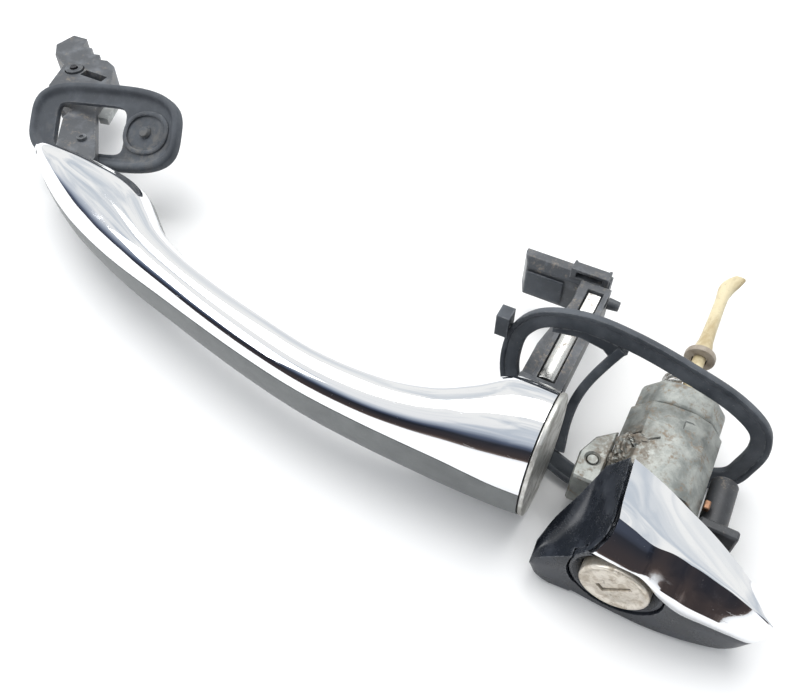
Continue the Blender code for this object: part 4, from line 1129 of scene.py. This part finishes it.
def make_stage():
    bm = bmesh.new()
    bmesh.ops.create_grid(bm, x_segments=2, y_segments=2, size=4.0)
    mesh = bpy.data.meshes.new("floor")
    bm.to_mesh(mesh)
    bm.free()
    floor = link_object("floor", mesh)
    mat = bpy.data.materials.new("floor_look")
    mat.use_nodes = True
    shader = mat.node_tree.nodes["Principled BSDF"]
    shader.inputs["Base Color"].default_value = (0.90, 0.90, 0.90, 1.0)
    shader.inputs["Roughness"].default_value = 0.9
    shader.inputs["Specular IOR Level"].default_value = 0.1
    mesh.materials.append(mat)


def area_light(name, place, size, power):
    """Soft rectangle of light, in metres and watts, aimed at the object."""
    data = bpy.data.lights.new(name, "AREA")
    data.shape = "RECTANGLE"
    data.size, data.size_y = size
    data.energy = power
    obj = link_object(name, data)
    obj.location = place
    obj.rotation_euler = (-Vector(place)).to_track_quat("-Z", "Y").to_euler()


# Grey of the surroundings by height: dark low down, where plating mirrors it as a band, and white above.
SKY_STOPS = (
    (0.0, (0.60, 0.58, 0.56)), (0.05, (0.24, 0.19, 0.17)), (0.10, (0.075, 0.058, 0.055)),
    (0.36, (0.035, 0.037, 0.047)), (0.46, (0.12, 0.145, 0.21)), (0.58, (0.55, 0.60, 0.68)),
    (0.68, (0.98, 0.99, 1.0)), (1.0, (1.10, 1.10, 1.08)),
)
CLOUD_STOPS = ((0.34, (0.62, 0.67, 0.74)), (0.56, (1.0, 1.0, 1.0)))
# axis, where the lift starts, where it is full, how far it raises the level
SIDE_LIFTS = (("Y", -0.25, 0.30, 0.75), ("X", -0.50, -0.95, 0.30))


def colour_ramp(tree, value, stops):
    ramp = tree.nodes.new("ShaderNodeValToRGB")
    tree.links.new(value, ramp.inputs[0])
    while len(ramp.color_ramp.elements) < len(stops):
        ramp.color_ramp.elements.new(0.5)
    for element, (at, colour) in zip(ramp.color_ramp.elements, stops):
        element.position = at
        element.color = (*colour, 1.0)
    return ramp.outputs["Color"]


def sky_noise(tree, where, scale, detail, distortion=0.0):
    node = tree.nodes.new("ShaderNodeTexNoise")
    tree.links.new(where, node.inputs["Vector"])
    node.inputs["Scale"].default_value = scale
    node.inputs["Detail"].default_value = detail
    node.inputs["Distortion"].default_value = distortion
    return node.outputs["Fac"]


def make_lights():
    """Two soft lights, a plain white studio as the camera sees it, and banded surroundings to mirror."""
    area_light("overhead", (-0.3, 0.5, 1.5), (1.8, 1.2), 22)
    area_light("side_fill", (-1.3, -0.9, 0.9), (1.0, 0.8), 9)
    studio = bpy.data.worlds.new("studio")
    bpy.context.scene.world = studio
    studio.use_nodes = True
    tree = studio.node_tree
    tree.nodes.clear()
    coord = tree.nodes.new("ShaderNodeTexCoord")
    parts = tree.nodes.new("ShaderNodeSeparateXYZ")
    tree.links.new(coord.outputs["Generated"], parts.inputs[0])
    wave = tree.nodes.new("ShaderNodeMath")
    wave.operation = "MULTIPLY_ADD"
    tree.links.new(sky_noise(tree, coord.outputs["Generated"], 2.3, 2.0), wave.inputs[0])
    wave.inputs[1].default_value = 0.12
    tree.links.new(parts.outputs["Z"], wave.inputs[2])
    level = wave.outputs[0]
    for axis, low, high, lift in SIDE_LIFTS:
        side = tree.nodes.new("ShaderNodeMapRange")
        side.interpolation_type = "SMOOTHSTEP"
        tree.links.new(parts.outputs[axis], side.inputs["Value"])
        side.inputs["From Min"].default_value = low
        side.inputs["From Max"].default_value = high
        side.inputs["To Max"].default_value = lift
        added = tree.nodes.new("ShaderNodeMath")
        tree.links.new(level, added.inputs[0])
        tree.links.new(side.outputs["Result"], added.inputs[1])
        level = added.outputs[0]
    seen = tree.nodes.new("ShaderNodeBackground")
    seen.inputs["Color"].default_value = (1, 1, 1, 1)
    seen.inputs["Strength"].default_value = 0.95
    around = tree.nodes.new("ShaderNodeBackground")
    clouds = sky_noise(tree, coord.outputs["Generated"], 3.4, 4.0, 0.6)
    tinted = tree.nodes.new("ShaderNodeMix")
    tinted.data_type = "RGBA"
    tinted.blend_type = "MULTIPLY"
    tinted.inputs[0].default_value = 1.0
    tree.links.new(colour_ramp(tree, level, SKY_STOPS), tinted.inputs[6])
    tree.links.new(colour_ramp(tree, clouds, CLOUD_STOPS), tinted.inputs[7])
    tree.links.new(tinted.outputs[2], around.inputs["Color"])
    around.inputs["Strength"].default_value = 0.9
    path = tree.nodes.new("ShaderNodeLightPath")
    mix = tree.nodes.new("ShaderNodeMixShader")
    tree.links.new(path.outputs["Is Camera Ray"], mix.inputs[0])
    tree.links.new(around.outputs[0], mix.inputs[1])
    tree.links.new(seen.outputs[0], mix.inputs[2])
    out = tree.nodes.new("ShaderNodeOutputWorld")
    tree.links.new(mix.outputs[0], out.inputs["Surface"])


CAMERA_PLACE = (16.7, -154.3, 218.0)
CAMERA_AZIMUTH = 28
CAMERA_ELEVATION = 50


def make_camera():
    """Looks down on the handle from its outer side, turned a little to the lock end."""
    data = bpy.data.cameras.new("camera")
    data.sensor_width = 36
    data.lens = 36
    data.clip_start = 0.01
    data.clip_end = 20
    azimuth, elevation = math.radians(CAMERA_AZIMUTH), math.radians(CAMERA_ELEVATION)
    level = math.cos(elevation)
    back = Vector((math.sin(azimuth) * level, -math.cos(azimuth) * level, math.sin(elevation)))
    right = Vector((math.cos(azimuth), math.sin(azimuth), 0))
    up = back.cross(right)
    place = world(CAMERA_PLACE)
    obj = link_object("camera", data)
    obj.matrix_world = Matrix((*((right[k], up[k], back[k], place[k]) for k in range(3)), (0, 0, 0, 1)))
    bpy.context.scene.camera = obj


dress_nodes()
make_grip()
make_hook_head()
make_cap()
make_base()
make_key_face()
make_tail()
make_housing()
make_front_gasket()
make_rear_gasket()
refine_rest()
make_stage()
make_lights()
make_camera()
bpy.context.scene.view_settings.view_transform = "Standard"
